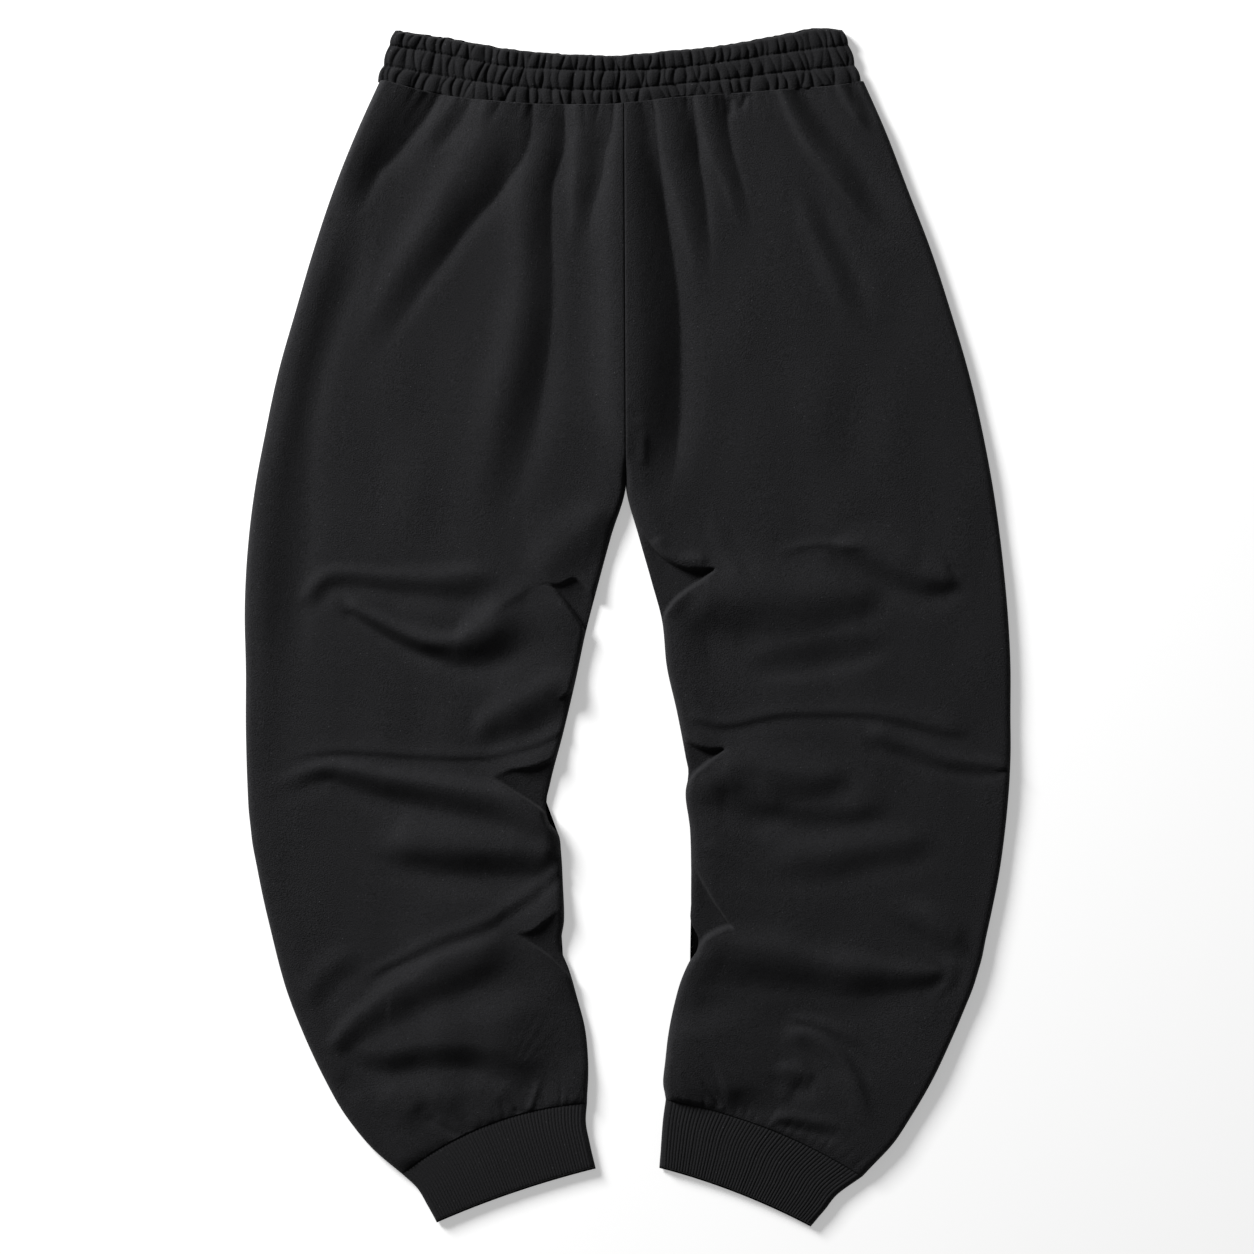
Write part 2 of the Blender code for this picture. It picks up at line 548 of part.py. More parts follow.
def make_waistband():
    """The elastic band: three gathered channels between four lines, plain on the underside."""
    lines = np.array([row[1:] for row in BAND_LINES])
    places = [row.place for row in BAND_LINES]
    steps = CHANNELS * RINGS_PER_CHANNEL

    def ends(t):
        bulge = BAND_END_BULGE * abs(math.sin(CHANNELS * math.pi * t))
        return BAND_LEFT[0] + BAND_LEFT[1] * t - bulge, BAND_RIGHT[0] + BAND_RIGHT[1] * t + bulge

    def place(share, t):
        left, right = ends(t)
        levels = through(places, lines, np.array([2.0 * share - 1.0]))[0]
        y = np.interp(t * CHANNELS, range(CHANNELS + 1), levels)
        return left + (right - left) * share, y

    columns = np.linspace(0.015, 0.985, 2 * GATHERS + 1)

    def top(share, t):
        channel = t * CHANNELS
        arch = abs(math.sin(math.pi * channel))
        column = int(round((share - columns[0]) / (columns[1] - columns[0])))
        crest = 1.0 if column % 2 else -1.0
        if not 0 < column < 2 * GATHERS:
            crest = 0.0
        relief = (GATHER_RELIEF[0] + GATHER_RELIEF[1] * arch) * gather_strength(column, int(channel))
        return BAND_GROOVE + BAND_BULGE * arch + crest * relief

    rings = []
    for i in range(steps + 1):
        t = i / steps
        left, right = ends(t)
        rings.append(tube_ring(place, t, right - left, columns, top, BAND_MIDDLE, BAND_ROLL, 0.0))
    slits = []
    for t in (0.0, 1.0):
        left, right = ends(t)
        low, high = BAND_UNDER, BAND_UNDER + BAND_SLIT
        slits.append(slit_ring(place, t, right - left, BAND_WALL, low, high, BAND_SLIT_COLUMNS, 0.0))
    return make_tube("waistband", rings, slits, BAND_FLEECE)


def make_cuff(name, sections, side):
    """A cuff of folded ribbing, its ribs raised on the upper layer."""
    lengths = middle_lengths(sections)
    steps = 3

    def section(t):
        return through(lengths, sections, np.array([t * lengths[-1]]))[0]

    def place(share, t):
        row = section(t)
        point = section_points(row, np.array([share * section_width(row)]), side)[0]
        across = np.array([row[2] - row[0], row[3] - row[1]]) / section_width(row)
        return point - CUFF_GAP * side * np.array([-across[1], across[0]])

    columns = np.linspace(0.03, 0.97, 2 * RIBS + 1)

    def top(share, t):
        rib = int(round((share - columns[0]) / (columns[1] - columns[0])))
        crest = RIB_RELIEF if rib % 2 and 0 < rib < 2 * RIBS else 0.0
        return CUFF_TOP + CUFF_CROWN * math.sin(math.pi * t) + crest

    rings = []
    slits = []
    low, high = CUFF_UNDER, CUFF_UNDER + CUFF_SLIT
    for i in range(steps + 1):
        t = i / steps
        reach = HEM_REACH if i == steps else 0.0
        width = section_width(section(t))
        rings.append(tube_ring(place, t, width, columns, top, CUFF_MIDDLE, CUFF_ROLL, reach))
        slits.append(slit_ring(place, t, width, CUFF_WALL, low, high, CUFF_SLIT_COLUMNS, reach))
    return make_tube(name, rings, slits, RIBBING)


# ---------------------------------------------------------------- the garment
def main():
    for thing in list(bpy.data.objects):
        bpy.data.objects.remove(thing, do_unlink=True)
    make_waistband()
    make_panel("back_left", LEFT_LEG, 1, True)
    make_panel("back_right", RIGHT_LEG, -1, True)
    make_panel("front_left", LEFT_LEG, 1, False)
    make_panel("front_right", RIGHT_LEG, -1, False)
    make_cuff("cuff_left", LEFT_CUFF, 1)
    make_cuff("cuff_right", RIGHT_CUFF, -1)


main()
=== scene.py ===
"""Looks of the jogger sweatpants: thin cloth shells with their folds, gathers, ribs and sewing.

The garment lies flat on its front, back upwards, waistband at +Y and cuffs at -Y.  Sizes are in millimetres
on the drawing whose middle is CENTRE, but the slopes' paths are in the photo's pixels and the stage is in
metres.  Meshes are made in metres in the frame's own axes.
"""

import math
from collections import namedtuple

import bmesh
import bpy
import numpy as np
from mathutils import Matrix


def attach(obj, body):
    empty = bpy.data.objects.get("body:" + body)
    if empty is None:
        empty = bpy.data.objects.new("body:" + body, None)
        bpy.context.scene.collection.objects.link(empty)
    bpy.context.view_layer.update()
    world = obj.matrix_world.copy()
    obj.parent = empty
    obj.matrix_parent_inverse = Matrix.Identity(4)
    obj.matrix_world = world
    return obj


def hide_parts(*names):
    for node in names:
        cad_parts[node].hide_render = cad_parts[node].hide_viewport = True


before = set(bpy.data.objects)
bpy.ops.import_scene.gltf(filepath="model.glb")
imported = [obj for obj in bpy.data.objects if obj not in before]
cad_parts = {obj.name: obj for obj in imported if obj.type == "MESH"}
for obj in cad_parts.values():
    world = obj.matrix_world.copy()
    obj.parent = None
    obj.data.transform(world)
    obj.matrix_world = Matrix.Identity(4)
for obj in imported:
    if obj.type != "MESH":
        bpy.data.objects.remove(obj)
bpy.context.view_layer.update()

MM = 0.001

# ---------------------------------------------------------------- sizes shared with the solids
CENTRE = (0.6, -1.1)    # middle of the outline on the drawing
CLOTH = 1.8
SIDE_GAP = 0.1          # between an upper and an under panel
CENTRE_GAP = 0.02       # along the centre seams
FRONT_SEAM_SHIFT = 0.8  # the front's centre seam lies this far to the right of the back's
SEAM_HEIGHT = 3.2       # the edges of the two layers meet here
UPPER_ROLL = 6.0        # width over which an edge rolls down to its seam
UNDER_ROLL = 5.0
REST_HEIGHT = 9.0       # the level cloth's top
LOWEST_TOP = 3.3        # no hollow lies lower
HIGHEST_TOP = 19.0      # no tuck stands higher
LOW_SHARPNESS = 1.6     # how sharply the height levels out at the lowest and the highest top
HIGH_SHARPNESS = 0.6
WAIST_LIFT = 1.2        # the cloth stands this much higher beside the waist, where it is gathered
WAIST_LIFT_LENGTH = 130.0
# The cloth stands higher by this beside the outer and the inner edge, on the left (1) and right (-1) leg.
EDGE_PUFF = {1: (1.1, 0.6), -1: (0.0, 1.6)}
EDGE_PUFF_AT = 13.0
EDGE_PUFF_WIDTH = 12.0
CENTRE_TOP = (-2.5, 443.5)
CROTCH = (-1.0, 118.0)
CROTCH_TURN = 30.0

# A section runs from a piece's outer to its inner edge, its middle bent towards the waist by bow.  The rows
# are the solids' own, measured on the photo at PHOTO_SCALE.
Section = namedtuple("Section", "outer_x outer_y inner_x inner_y bow")

LEFT_LEG = [Section(*row) for row in (
    (-210.0, 464.0, *CENTRE_TOP, -8.0),
    (-229.5, 421.5, -2.4, 400.5, -5.0),
    (-250.0, 370.5, -2.2, 345.0, -2.0),
    (-267.0, 319.5, -1.9, 290.0, 0.0),
    (-282.0, 268.5, -1.6, 234.5, 0.0),
    (-296.5, 217.5, -1.3, 179.5, 0.0),
    (-307.5, 166.5, *CROTCH, 0.0),
    (-317.0, 115.5, -13.0, 78.0, 0.0),
    (-323.0, 64.5, -24.0, 37.5, 0.0),
    (-325.5, 13.5, -35.0, -5.0, 0.0),
    (-324.5, -37.5, -44.0, -47.5, 0.0),
    (-324.5, -88.5, -54.5, -92.0, 0.0),
    (-323.0, -139.5, -65.5, -134.5, 0.0),
    (-322.0, -158.0, -69.0, -153.0, 0.0),
    (-320.5, -171.5, -66.5, -166.0, 0.0),
    (-319.0, -184.5, -58.5, -177.0, 0.0),
    (-315.5, -203.0, -56.0, -194.0, 0.0),
    (-310.0, -230.5, -54.5, -220.0, 0.0),
    (-302.5, -262.5, -53.5, -250.0, 0.0),
    (-295.0, -292.5, -56.0, -275.5, 0.0),
    (-290.0, -309.5, -50.0, -290.5, 0.0),
    (-277.0, -343.5, -42.5, -316.0, 0.0),
    (-258.5, -383.5, -35.5, -343.5, 2.0),
    (-239.0, -417.5, -33.0, -370.5, 6.0),
    (-216.0, -445.5, -33.0, -389.5, 10.0),
    (-192.0, -466.0, -33.0, -405.5, 13.0),
)]

RIGHT_LEG = [Section(*row) for row in (
    (201.5, 463.0, *CENTRE_TOP, -1.0),
    (220.0, 421.5, -2.4, 400.5, 0.0),
    (239.5, 370.5, -2.2, 345.0, 0.0),
    (259.0, 319.5, -1.9, 290.0, 0.0),
    (275.5, 268.5, -1.6, 234.5, 0.0),
    (290.5, 217.5, -1.3, 179.5, 0.0),
    (302.5, 166.5, *CROTCH, 0.0),
    (312.0, 115.5, 9.5, 78.0, 0.0),
    (319.0, 64.5, 21.0, 37.5, 0.0),
    (324.0, 13.5, 30.0, 3.5, 0.0),
    (326.5, -33.0, 34.0, -35.5, 0.0),
    (326.5, -75.5, 42.5, -73.0, 0.0),
    (326.5, -114.0, 50.0, -112.0, 0.0),
    (325.5, -135.0, 52.5, -126.5, 0.0),
    (324.5, -148.0, 50.0, -139.5, 0.0),
    (321.5, -177.5, 53.5, -171.5, 0.0),
    (317.0, -210.0, 54.5, -204.0, 0.0),
    (310.0, -245.5, 54.5, -237.0, 0.0),
    (304.5, -271.0, 55.0, -253.5, 0.0),
    (302.5, -281.5, 60.5, -265.0, 0.0),
    (299.0, -294.0, 59.5, -276.0, 0.0),
    (295.0, -307.0, 53.5, -285.0, 0.0),
    (288.0, -324.5, 47.0, -299.0, 0.0),
    (274.5, -356.0, 40.0, -323.0, 0.0),
    (259.0, -388.5, 35.0, -348.5, 2.0),
    (242.0, -417.5, 32.5, -370.5, 4.0),
    (225.0, -443.0, 30.5, -389.5, 7.0),
    (202.5, -468.5, 31.5, -403.0, 9.0),
)]

LEFT_CUFF = [Section(*row) for row in (
    (-192.0, -466.0, -34.0, -405.5, 13.0),
    (-179.5, -477.5, -35.0, -421.5, 10.0),
    (-170.0, -493.0, -31.5, -441.0, 7.0),
    (-162.5, -506.5, -27.0, -460.5, 3.0),
)]

RIGHT_CUFF = [Section(*row) for row in (
    (200.5, -468.5, 33.0, -403.0, 9.0),
    (178.5, -484.5, 30.5, -421.5, 8.0),
    (168.5, -497.0, 29.0, -441.0, 6.0),
    (157.0, -510.0, 28.0, -460.0, 4.0),
)]

# The heights of the waistband's four lines, from its left end (-1) to its right end (1).
BandPlace = namedtuple("BandPlace", "place top upper_stitch lower_stitch seam")

BAND_LINES = [BandPlace(*row) for row in (
    (-1.00, 506.5, 494.5, 477.0, 465.0),
    (-0.75, 499.5, 486.0, 468.0, 452.5),
    (-0.50, 491.0, 476.5, 460.5, 446.0),
    (-0.25, 487.0, 473.5, 456.5, 443.7),
    (0.00, 486.0, 472.6, 456.5, 444.3),
    (0.25, 490.0, 475.0, 461.0, 450.0),
    (0.50, 495.0, 481.0, 466.0, 453.5),
    (0.75, 503.5, 488.5, 472.3, 457.5),
    (0.92, 509.0, 492.5, 475.5, 460.5),
    (1.00, 507.5, 494.5, 477.0, 463.5),
)]
BAND_LEFT = (-197.0, -15.0)     # x of its left end at the top, and how far it goes out down to the seam
BAND_RIGHT = (183.0, 16.0)
BAND_END_BULGE = 1.5

# ---------------------------------------------------------------- folds of the two back panels
# A slope is a band over which the cloth comes down, from the left of its path's way to the right.  Its path
# was read from the photo, in pixels, as (x, y, half width).  steep is the steepness as a share of the
# half width.  rise and fall say how far the high side before the band and the hollow after it reach, in
# half widths.  start and end are the shares of the length over which it comes and goes.  The factors were
# found by comparing renders with the photo: they multiply steep, rise and fall, and the last moves the path
# to the right by a share of its half width.  sharp is 0 for a round hollow and 1 for a crease, at the path's
# start and end.
Slope = namedtuple(
    "Slope", "name path steep rise fall start end factors sharp", defaults=(None, (0.0, 0.0)))

PHOTO_MIDDLE = (627, 626)       # the pixel at the drawing's origin
PHOTO_SCALE = 0.85      # millimetres in a pixel
HALF_WIDTH_SCALE = 1.2  # millimetres for a pixel of half width: wider than read, as the edges are soft


def moved_right(path, share):
    """A path in pixels, moved to the right of its way by a share of its half width at each point."""
    moved = []
    for i, (px, py, half) in enumerate(path):
        before = path[max(i - 1, 0)]
        after = path[min(i + 1, len(path) - 1)]
        dx = after[0] - before[0]
        dy = before[1] - after[1]
        length = math.hypot(dx, dy)
        moved.append((px + dy / length * share * half, py + dx / length * share * half, half))
    return moved


def in_millimetres(rows, strength, usual):
    """Slopes in millimetres, rounded to what the photo shows; usual is for the rows without factors."""
    slopes = []
    for row in rows:
        steep, rise, fall, shift = row.factors or usual
        path = [(round((px - PHOTO_MIDDLE[0]) * PHOTO_SCALE), round((PHOTO_MIDDLE[1] - py) * PHOTO_SCALE),
                 round(half * HALF_WIDTH_SCALE * 2) / 2) for px, py, half in moved_right(row.path, shift)]
        slopes.append(row._replace(path=path, steep=round(row.steep * steep * strength, 2),
                                   rise=round(row.rise * rise, 2), fall=round(row.fall * fall, 2)))
    return slopes


WAIST_SLOPES = in_millimetres([Slope(*row) for row in (
    ("outer hollow", [(287, 700, 9), (282, 650, 12), (282, 600, 14), (283, 550, 16), (286, 500, 15),
     (293, 450, 12), (301, 410, 10), (309, 370, 10), (316, 340, 11), (326, 305, 12), (337, 275, 12),
     (347, 245, 11), (355, 215, 9), (361, 195, 8)], 0.3, 0.9, 0.6, 0.2, 0.2),
    ("hip wedge", [(346, 222, 5), (351, 207, 7), (356, 188, 10), (363, 164, 13), (372, 151, 15),
     (381, 137, 17), (393, 117, 19), (402, 101, 21), (410, 84, 21)],
     0.5, 0.5, 0.4, 0.35, 0, None, (0.3, 1)),
    ("dip 2", [(424, 158, 4), (432, 146, 6), (441, 132, 7), (452, 118, 7), (461, 104, 6), (471, 88, 5)],
     0.45, 0.9, 0.5, 0.4, 0, None, (0, 0.6)),
    ("dip 2b", [(476, 130, 3), (488, 114, 4), (497, 101, 4), (505, 88, 4)], 0.3, 1, 1, 0.5, 0),
    ("dip 3", [(357, 385, 6), (370, 350, 8), (385, 322, 9), (399, 300, 10), (414, 276, 11), (430, 252, 12),
     (443, 233, 12), (455, 215, 13), (468, 198, 14), (481, 182, 15), (492, 165, 16), (503, 148, 16),
     (509, 130, 16), (512, 108, 15), (515, 86, 14)], 0.58, 0.9, 0.5, 0.5, 0, None, (0, 1)),
    ("dip 4", [(487, 535, 7), (494, 512, 10), (501, 487, 12), (508, 461, 13), (515, 430, 14),
     (522, 394, 14), (529, 361, 13), (534, 330, 12), (538, 300, 11), (539, 270, 10), (538, 240, 10),
     (537, 210, 10), (539, 185, 10), (544, 165, 11), (548, 145, 12), (548, 125, 12), (547, 105, 12),
     (546, 86, 12)], 0.6, 1.1, 0.7, 0.35, 0, None, (0, 1)),
    ("dip 5", [(577, 262, 4), (580, 240, 6), (583, 215, 6), (586, 195, 8), (590, 170, 9), (592, 150, 10),
     (596, 130, 11), (597, 110, 12), (598, 86, 12)], 0.66, 0.7, 0.5, 0.45, 0, None, (0.2, 1)),
    ("seat valley", [(650, 505, 10), (652, 480, 15), (653, 440, 18), (653, 400, 20), (653, 350, 20),
     (652, 310, 20), (648, 270, 19), (644, 230, 18), (641, 190, 16), (639, 150, 14), (636, 110, 13),
     (634, 86, 12)], 0.66, 0.8, 0.6, 0.2, 0, None, (0.6, 1)),
    ("dip 6", [(706, 290, 4), (702, 262, 6), (697, 228, 8), (690, 190, 10), (685, 165, 11), (681, 140, 12),
     (679, 120, 12), (677, 104, 12), (675, 86, 12)], 0.68, 0.6, 0.45, 0.4, 0, None, (0.5, 1)),
    ("dip 7", [(748, 240, 4), (744, 217, 5), (736, 190, 5), (730, 172, 6), (724, 155, 7), (718, 130, 8),
     (713, 105, 9), (709, 86, 9)], 0.62, 0.6, 0.5, 0.5, 0, None, (0.5, 1)),
    ("dip 8", [(890, 230, 6), (878, 212, 8), (860, 190, 9), (842, 166, 10), (824, 142, 10), (808, 119, 9),
     (796, 99, 8), (784, 76, 6)], 0.95, 0.35, 0.9, 0.45, 0, None, (0, 0)),
    ("dip 10", [(876, 133, 3), (863, 113, 5), (853, 97, 5), (840, 74, 4)], 0.95, 0.5, 1, 0.4, 0),
    ("hip dip", [(868, 335, 6), (860, 315, 7), (850, 290, 8), (840, 266, 8), (828, 242, 7), (817, 220, 7),
     (808, 200, 6), (800, 182, 5)], 0.55, 1, 1, 0.4, 0.3),
)], 1, (1, 1, 1, 0))

LEFT_SLOPES = in_millimetres([Slope(*row) for row in (
    ("knee hollow", [(303, 612, 5), (313, 600, 6), (320, 590, 6), (330, 583, 6), (342, 580, 6),
     (360, 582, 6), (380, 584, 6), (400, 586, 7), (420, 588, 7), (440, 589, 8), (460, 589, 9),
     (480, 588, 9), (495, 585, 8), (508, 582, 6)], 0.42, 1, 1, 0.1, 0.2, (1.4, 0.8, 0.9, -0.05)),
    ("knee band", [(338, 602, 4), (352, 609, 4.5), (367, 619, 5), (382, 628, 5.5), (397, 636, 6),
     (412, 643, 6.5), (427, 649, 7), (443, 653, 8), (460, 655, 10), (478, 652, 12), (494, 646, 13),
     (510, 638, 14), (522, 629, 14), (532, 619, 14), (541, 609, 12)],
     0.56, 0.9, 1, 0.08, 0.3, (1.6, 0.75, 0.9, -0.1)),
    ("knee line", [(342, 606, 3), (360, 616, 3.5), (380, 628, 4), (400, 639, 4.5), (420, 647, 5),
     (440, 653, 5), (458, 656, 5)], 0.62, 1, 1, 0.1, 0.3),
    ("thigh slope", [(530, 592, 7), (541, 584, 10), (556, 574, 13), (574, 560, 14), (592, 541, 13),
     (606, 521, 10), (616, 505, 8)], 0.4, 1.2, 1, 0.25, 0.2, (1.1, 1, 1, 0)),
    ("mid band", [(470, 745, 5), (485, 738, 8), (500, 730, 11), (520, 722, 13), (540, 712, 12),
     (558, 700, 12)], 0.45, 0.9, 0.9, 0.25, 0, (1.2, 0.9, 1, 0)),
    ("calf crease", [(272, 766, 2), (290, 759, 2.2), (310, 755, 2.2), (330, 753, 2.3), (350, 752.5, 2.3),
     (375, 754, 2.3), (400, 756.5, 2.3), (425, 758, 2.4), (450, 759.5, 2.5), (470, 759, 2.5),
     (490, 757.5, 2.5), (505, 754, 2.5), (525, 749, 2.5), (545, 742, 2.5), (558, 735, 2.5)],
     0.6, 1.6, 1.6, 0.3, 0, (1.05, 1.3, 1.2, 0)),
    ("calf band", [(262, 796, 5), (280, 790, 5.5), (300, 783, 6), (315, 776, 6), (330, 774, 6),
     (345, 778, 7), (360, 783, 8), (380, 788, 8.5), (400, 792, 9), (425, 797, 9.5), (450, 802, 10.5),
     (475, 807, 11), (500, 813, 11), (522, 821, 10.5), (540, 831, 10), (560, 842, 9)],
     0.98, 0.7, 1.2, 0.3, 0.1, (1, 1, 1, 0)),
    ("calf hollow", [(362, 838, 5), (380, 848, 7), (395, 854, 9), (415, 858, 10.5), (440, 861, 11.5),
     (470, 862, 12), (500, 862, 12), (530, 863, 12), (562, 866, 11)], 0.86, 1.6, 1, 0.3, 0.1, (1, 1, 1, 0)),
    ("shin crease", [(362, 984, 2.5), (375, 976, 3), (390, 967, 3), (410, 958, 3.5), (430, 949, 4),
     (450, 940, 4), (470, 933, 4), (490, 925, 4), (505, 915, 4), (520, 905, 4), (535, 895, 4),
     (550, 883, 3.5), (560, 873, 3)], 0.52, 1.2, 1, 0.12, 0, (1, 1, 0.9, -0.1)),
    ("shin band", [(331, 1058, 6), (347, 1042, 8), (363, 1029, 10), (380, 1018, 11), (400, 1005, 13),
     (415, 997, 13), (432, 989, 13), (452, 979, 14), (472, 970, 13), (492, 962, 12), (510, 955, 11),
     (524, 950, 8)], 0.5, 0.8, 1.6, 0.1, 0.25, (1.35, 0.8, 1, 0.15)),
    ("shin wide", [(425, 1040, 14), (460, 1022, 22), (500, 1003, 28), (545, 985, 28)],
     0.27, 3, 2.4, 0.3, 0.5, (1, 1, 1, 0)),
    ("side hollow", [(312, 1015, 6), (322, 990, 8), (335, 975, 8), (350, 965, 8), (365, 958, 6)],
     0.28, 1, 1, 0.3, 0.3, (1.3, 1, 1, 0.1)),
    ("ankle arc", [(338, 1051, 4.5), (362, 1058, 7), (385, 1062, 9), (400, 1061, 10), (420, 1057, 10.5),
     (440, 1055, 11), (460, 1055, 11), (480, 1057, 11), (500, 1062, 11), (515, 1070, 10), (527, 1081, 8)],
     0.84, 2.5, 0.9, 0.2, 0.25, (1, 1, 1, 0)),
    ("inner shade", [(560, 1085, 16), (549, 1035, 24), (537, 975, 22)], 0.25, 2.5, 1, 0.3, 0.35),
)], 0.86, (1.3, 0.8, 0.95, 0))

RIGHT_SLOPES = in_millimetres([Slope(*row) for row in (
    ("thigh curve", [(648, 540, 4), (653, 547, 5), (660, 555, 5), (668, 561, 5), (678, 566, 5),
     (690, 568, 6), (702, 568, 6), (712, 567, 4)], 0.5, 1, 0.8, 0.1, 0.15, (1.3, 0.8, 0.7, 0)),
    ("thigh line", [(749, 580, 4), (742, 567, 5), (735, 556, 5), (728, 543, 5), (721, 528, 5),
     (715, 515, 4)], 0.42, 1, 1, 0.2, 0.3, (0.7, 1, 1, 0)),
    ("knee wide", [(680, 621, 6), (690, 620, 9), (710, 619, 15), (740, 620, 18), (770, 619, 18),
     (800, 615, 16), (840, 609, 13), (875, 604, 9), (890, 601, 6)],
     0.57, 1.2, 1.4, 0.15, 0.15, (1, 1, 1, 0)),
    ("knee second", [(738, 664, 6), (765, 660, 9), (800, 655, 11), (840, 648, 11), (870, 642, 9),
     (896, 637, 6)], 0.42, 2.2, 0.6, 0.25, 0.25, (1.2, 1, 1, 0)),
    ("knee crease", [(828, 545, 4), (843, 551, 6), (857, 557, 8), (870, 564, 9), (882, 570, 9),
     (897, 577, 9), (912, 583, 8), (926, 586, 8), (941, 587, 7), (956, 584, 5), (965, 578, 3)],
     0.66, 1.6, 1.3, 0.12, 0.15, (1.2, 1, 1, 0.1)),
    ("calf crease", [(686, 719, 2.5), (697, 721.5, 3), (708, 725, 3), (720, 727, 3), (735, 726, 3),
     (750, 722, 3), (770, 718, 3), (790, 716, 3), (810, 716, 3), (830, 716, 3), (855, 715, 3),
     (870, 717, 3), (885, 719, 3.5), (900, 722, 4), (920, 727, 4), (940, 732, 4), (955, 735, 4),
     (975, 740, 3)], 0.58, 1.5, 1.5, 0.05, 0.1, (1.1, 1.3, 1.2, 0)),
    ("calf lower", [(684, 786, 6), (700, 793, 9), (715, 797, 10), (738, 803, 10), (760, 807, 9),
     (780, 812, 7), (800, 815, 5)], 0.42, 1, 1, 0.3, 0.3, (1, 1, 1, 0)),
    ("calf upper", [(708, 781, 7), (722, 781, 10), (742, 783, 12), (760, 785, 13), (785, 787, 12),
     (805, 788, 11), (830, 786, 9), (850, 783, 8), (865, 780, 5)],
     0.55, 1.2, 1.6, 0.15, 0.25, (1.1, 1, 1, 0)),
    ("calf third", [(735, 803, 6), (755, 808, 9), (775, 813, 9), (800, 816, 9), (825, 817, 9),
     (850, 815, 8), (875, 813, 7), (900, 809, 5)], 0.42, 3, 1, 0.25, 0.25),
    ("outer crease 2", [(860, 735, 4), (875, 741, 6), (890, 747, 6), (905, 752, 6), (920, 757, 6),
     (940, 764, 5), (960, 768, 5), (980, 770, 5), (995, 770, 4)],
     0.52, 1.1, 0.9, 0.15, 0, (1.2, 0.9, 1, -0.15)),
    ("low band", [(765, 862, 7), (785, 867, 9), (810, 869, 10), (835, 867, 10), (860, 861, 9),
     (885, 856, 9), (910, 852, 9), (930, 847, 8), (945, 842, 7)], 0.42, 0.9, 0.9, 0.2, 0.2, (0.8, 1, 1, 0)),
    ("shin step", [(703, 845, 4), (715, 853, 5), (728, 862, 5), (740, 870, 5), (750, 880, 5),
     (757, 892, 4)], 0.2, 1, 0.9, 0.15, 0.3, (1.2, 0.9, 0.9, 0)),
    ("outer crease", [(880, 905, 4), (893, 911, 6), (907, 919, 7), (921, 927, 8), (934, 936, 8),
     (946, 945, 7), (957, 954, 5), (970, 964, 3)], 0.38, 1.3, 1.1, 0.6, 0.3, (2.1, 0.9, 0.8, -0.1)),
    ("big valley", [(676, 962, 13), (700, 963, 14), (724, 965, 15), (752, 968, 15), (780, 973, 15),
     (805, 977, 13), (828, 980, 12), (850, 982, 12), (872, 983, 11), (892, 983, 9), (912, 982, 8),
     (930, 979, 6), (945, 976, 4), (952, 973, 3)], 0.64, 0.9, 1.5, 0.3, 0.08, (1.05, 0.9, 1.1, 0.1)),
    ("hook", [(930, 1006, 3), (938, 1000, 3), (948, 990, 3.5), (955, 980, 4), (956, 968, 4), (950, 958, 3)],
     0.2, 1, 1, 0.3, 0.1),
    ("inner shade", [(752, 1112, 18), (745, 1055, 30), (737, 1000, 26)],
     0.26, 1.5, 2.6, 0.3, 0.3, (1, 1, 1, 0)),
    ("ankle arc", [(786, 1022, 3), (802, 1024, 3.5), (819, 1029, 4), (836, 1037, 4), (851, 1047, 4),
     (863, 1060, 3.5)], 0.5, 1, 1, 0.2, 0.4, (1.3, 1, 0.9, 0)),
    ("dimple", [(768, 1068, 4), (780, 1075, 6), (792, 1080, 7), (804, 1082, 6.5), (816, 1081, 4)],
     0.58, 0.8, 1.2, 0.35, 0.15, (1, 1, 1, 0)),
    ("cuff spot", [(722, 1102, 7), (742, 1096, 10), (760, 1096, 11), (777, 1100, 9), (788, 1106, 6)],
     0.36, 2.5, 1.3, 0.15, 0.15, (1, 1, 1, 0)),
    ("cuff tuck", [(772, 1123, 3), (790, 1123, 4), (808, 1126, 4.5), (825, 1129, 4.5), (840, 1133, 4),
     (852, 1139, 4)], 0.66, 1, 0.8, 0.1, 0.45, (1.1, 1, 1, 0)),
)], 0.88, (1.3, 0.8, 0.9, 0))

SLOPE_LOW = 0.35        # the share of a slope that lies below the level cloth
SLOPE_REACH = 2.5       # a slope is left out farther away than this many rises or falls
CREASE_FADE = 1.1       # how fast a hollow that ends in a crease comes up again

FOLD_REACH = 4.0        # a fold is left out farther away than this many half widths

# A fold is a small ridge, or a crease where its height is negative.  left and right are its half widths on
# each side of the way it runs, and sharp is 2 for a round section and less for a crease.
Fold = namedtuple("Fold", "name path height left right sharp start end")

WAIST_FOLDS = [Fold(*row) for row in (
    ("seat ridge", [(-4, 460), (-4, 362), (-3, 277), (-3, 192), (-2, 133)], 1.6, 15, 22, 2, 0, 0.2),
    ("seat tuck", [(2, 182), (7, 178)], -1.4, 4, 4, 2, 0, 0),
    ("seat bump", [(14, 167), (14, 133)], 1.5, 4, 5, 2, 0.3, 0.3),
    ("right nick", [(88, 446), (89, 430)], -2.2, 3, 3, 1.6, 0, 0.5),
    ("right nick 2", [(101, 449), (97, 437)], -2, 2.5, 3, 1.6, 0, 0.5),
)]

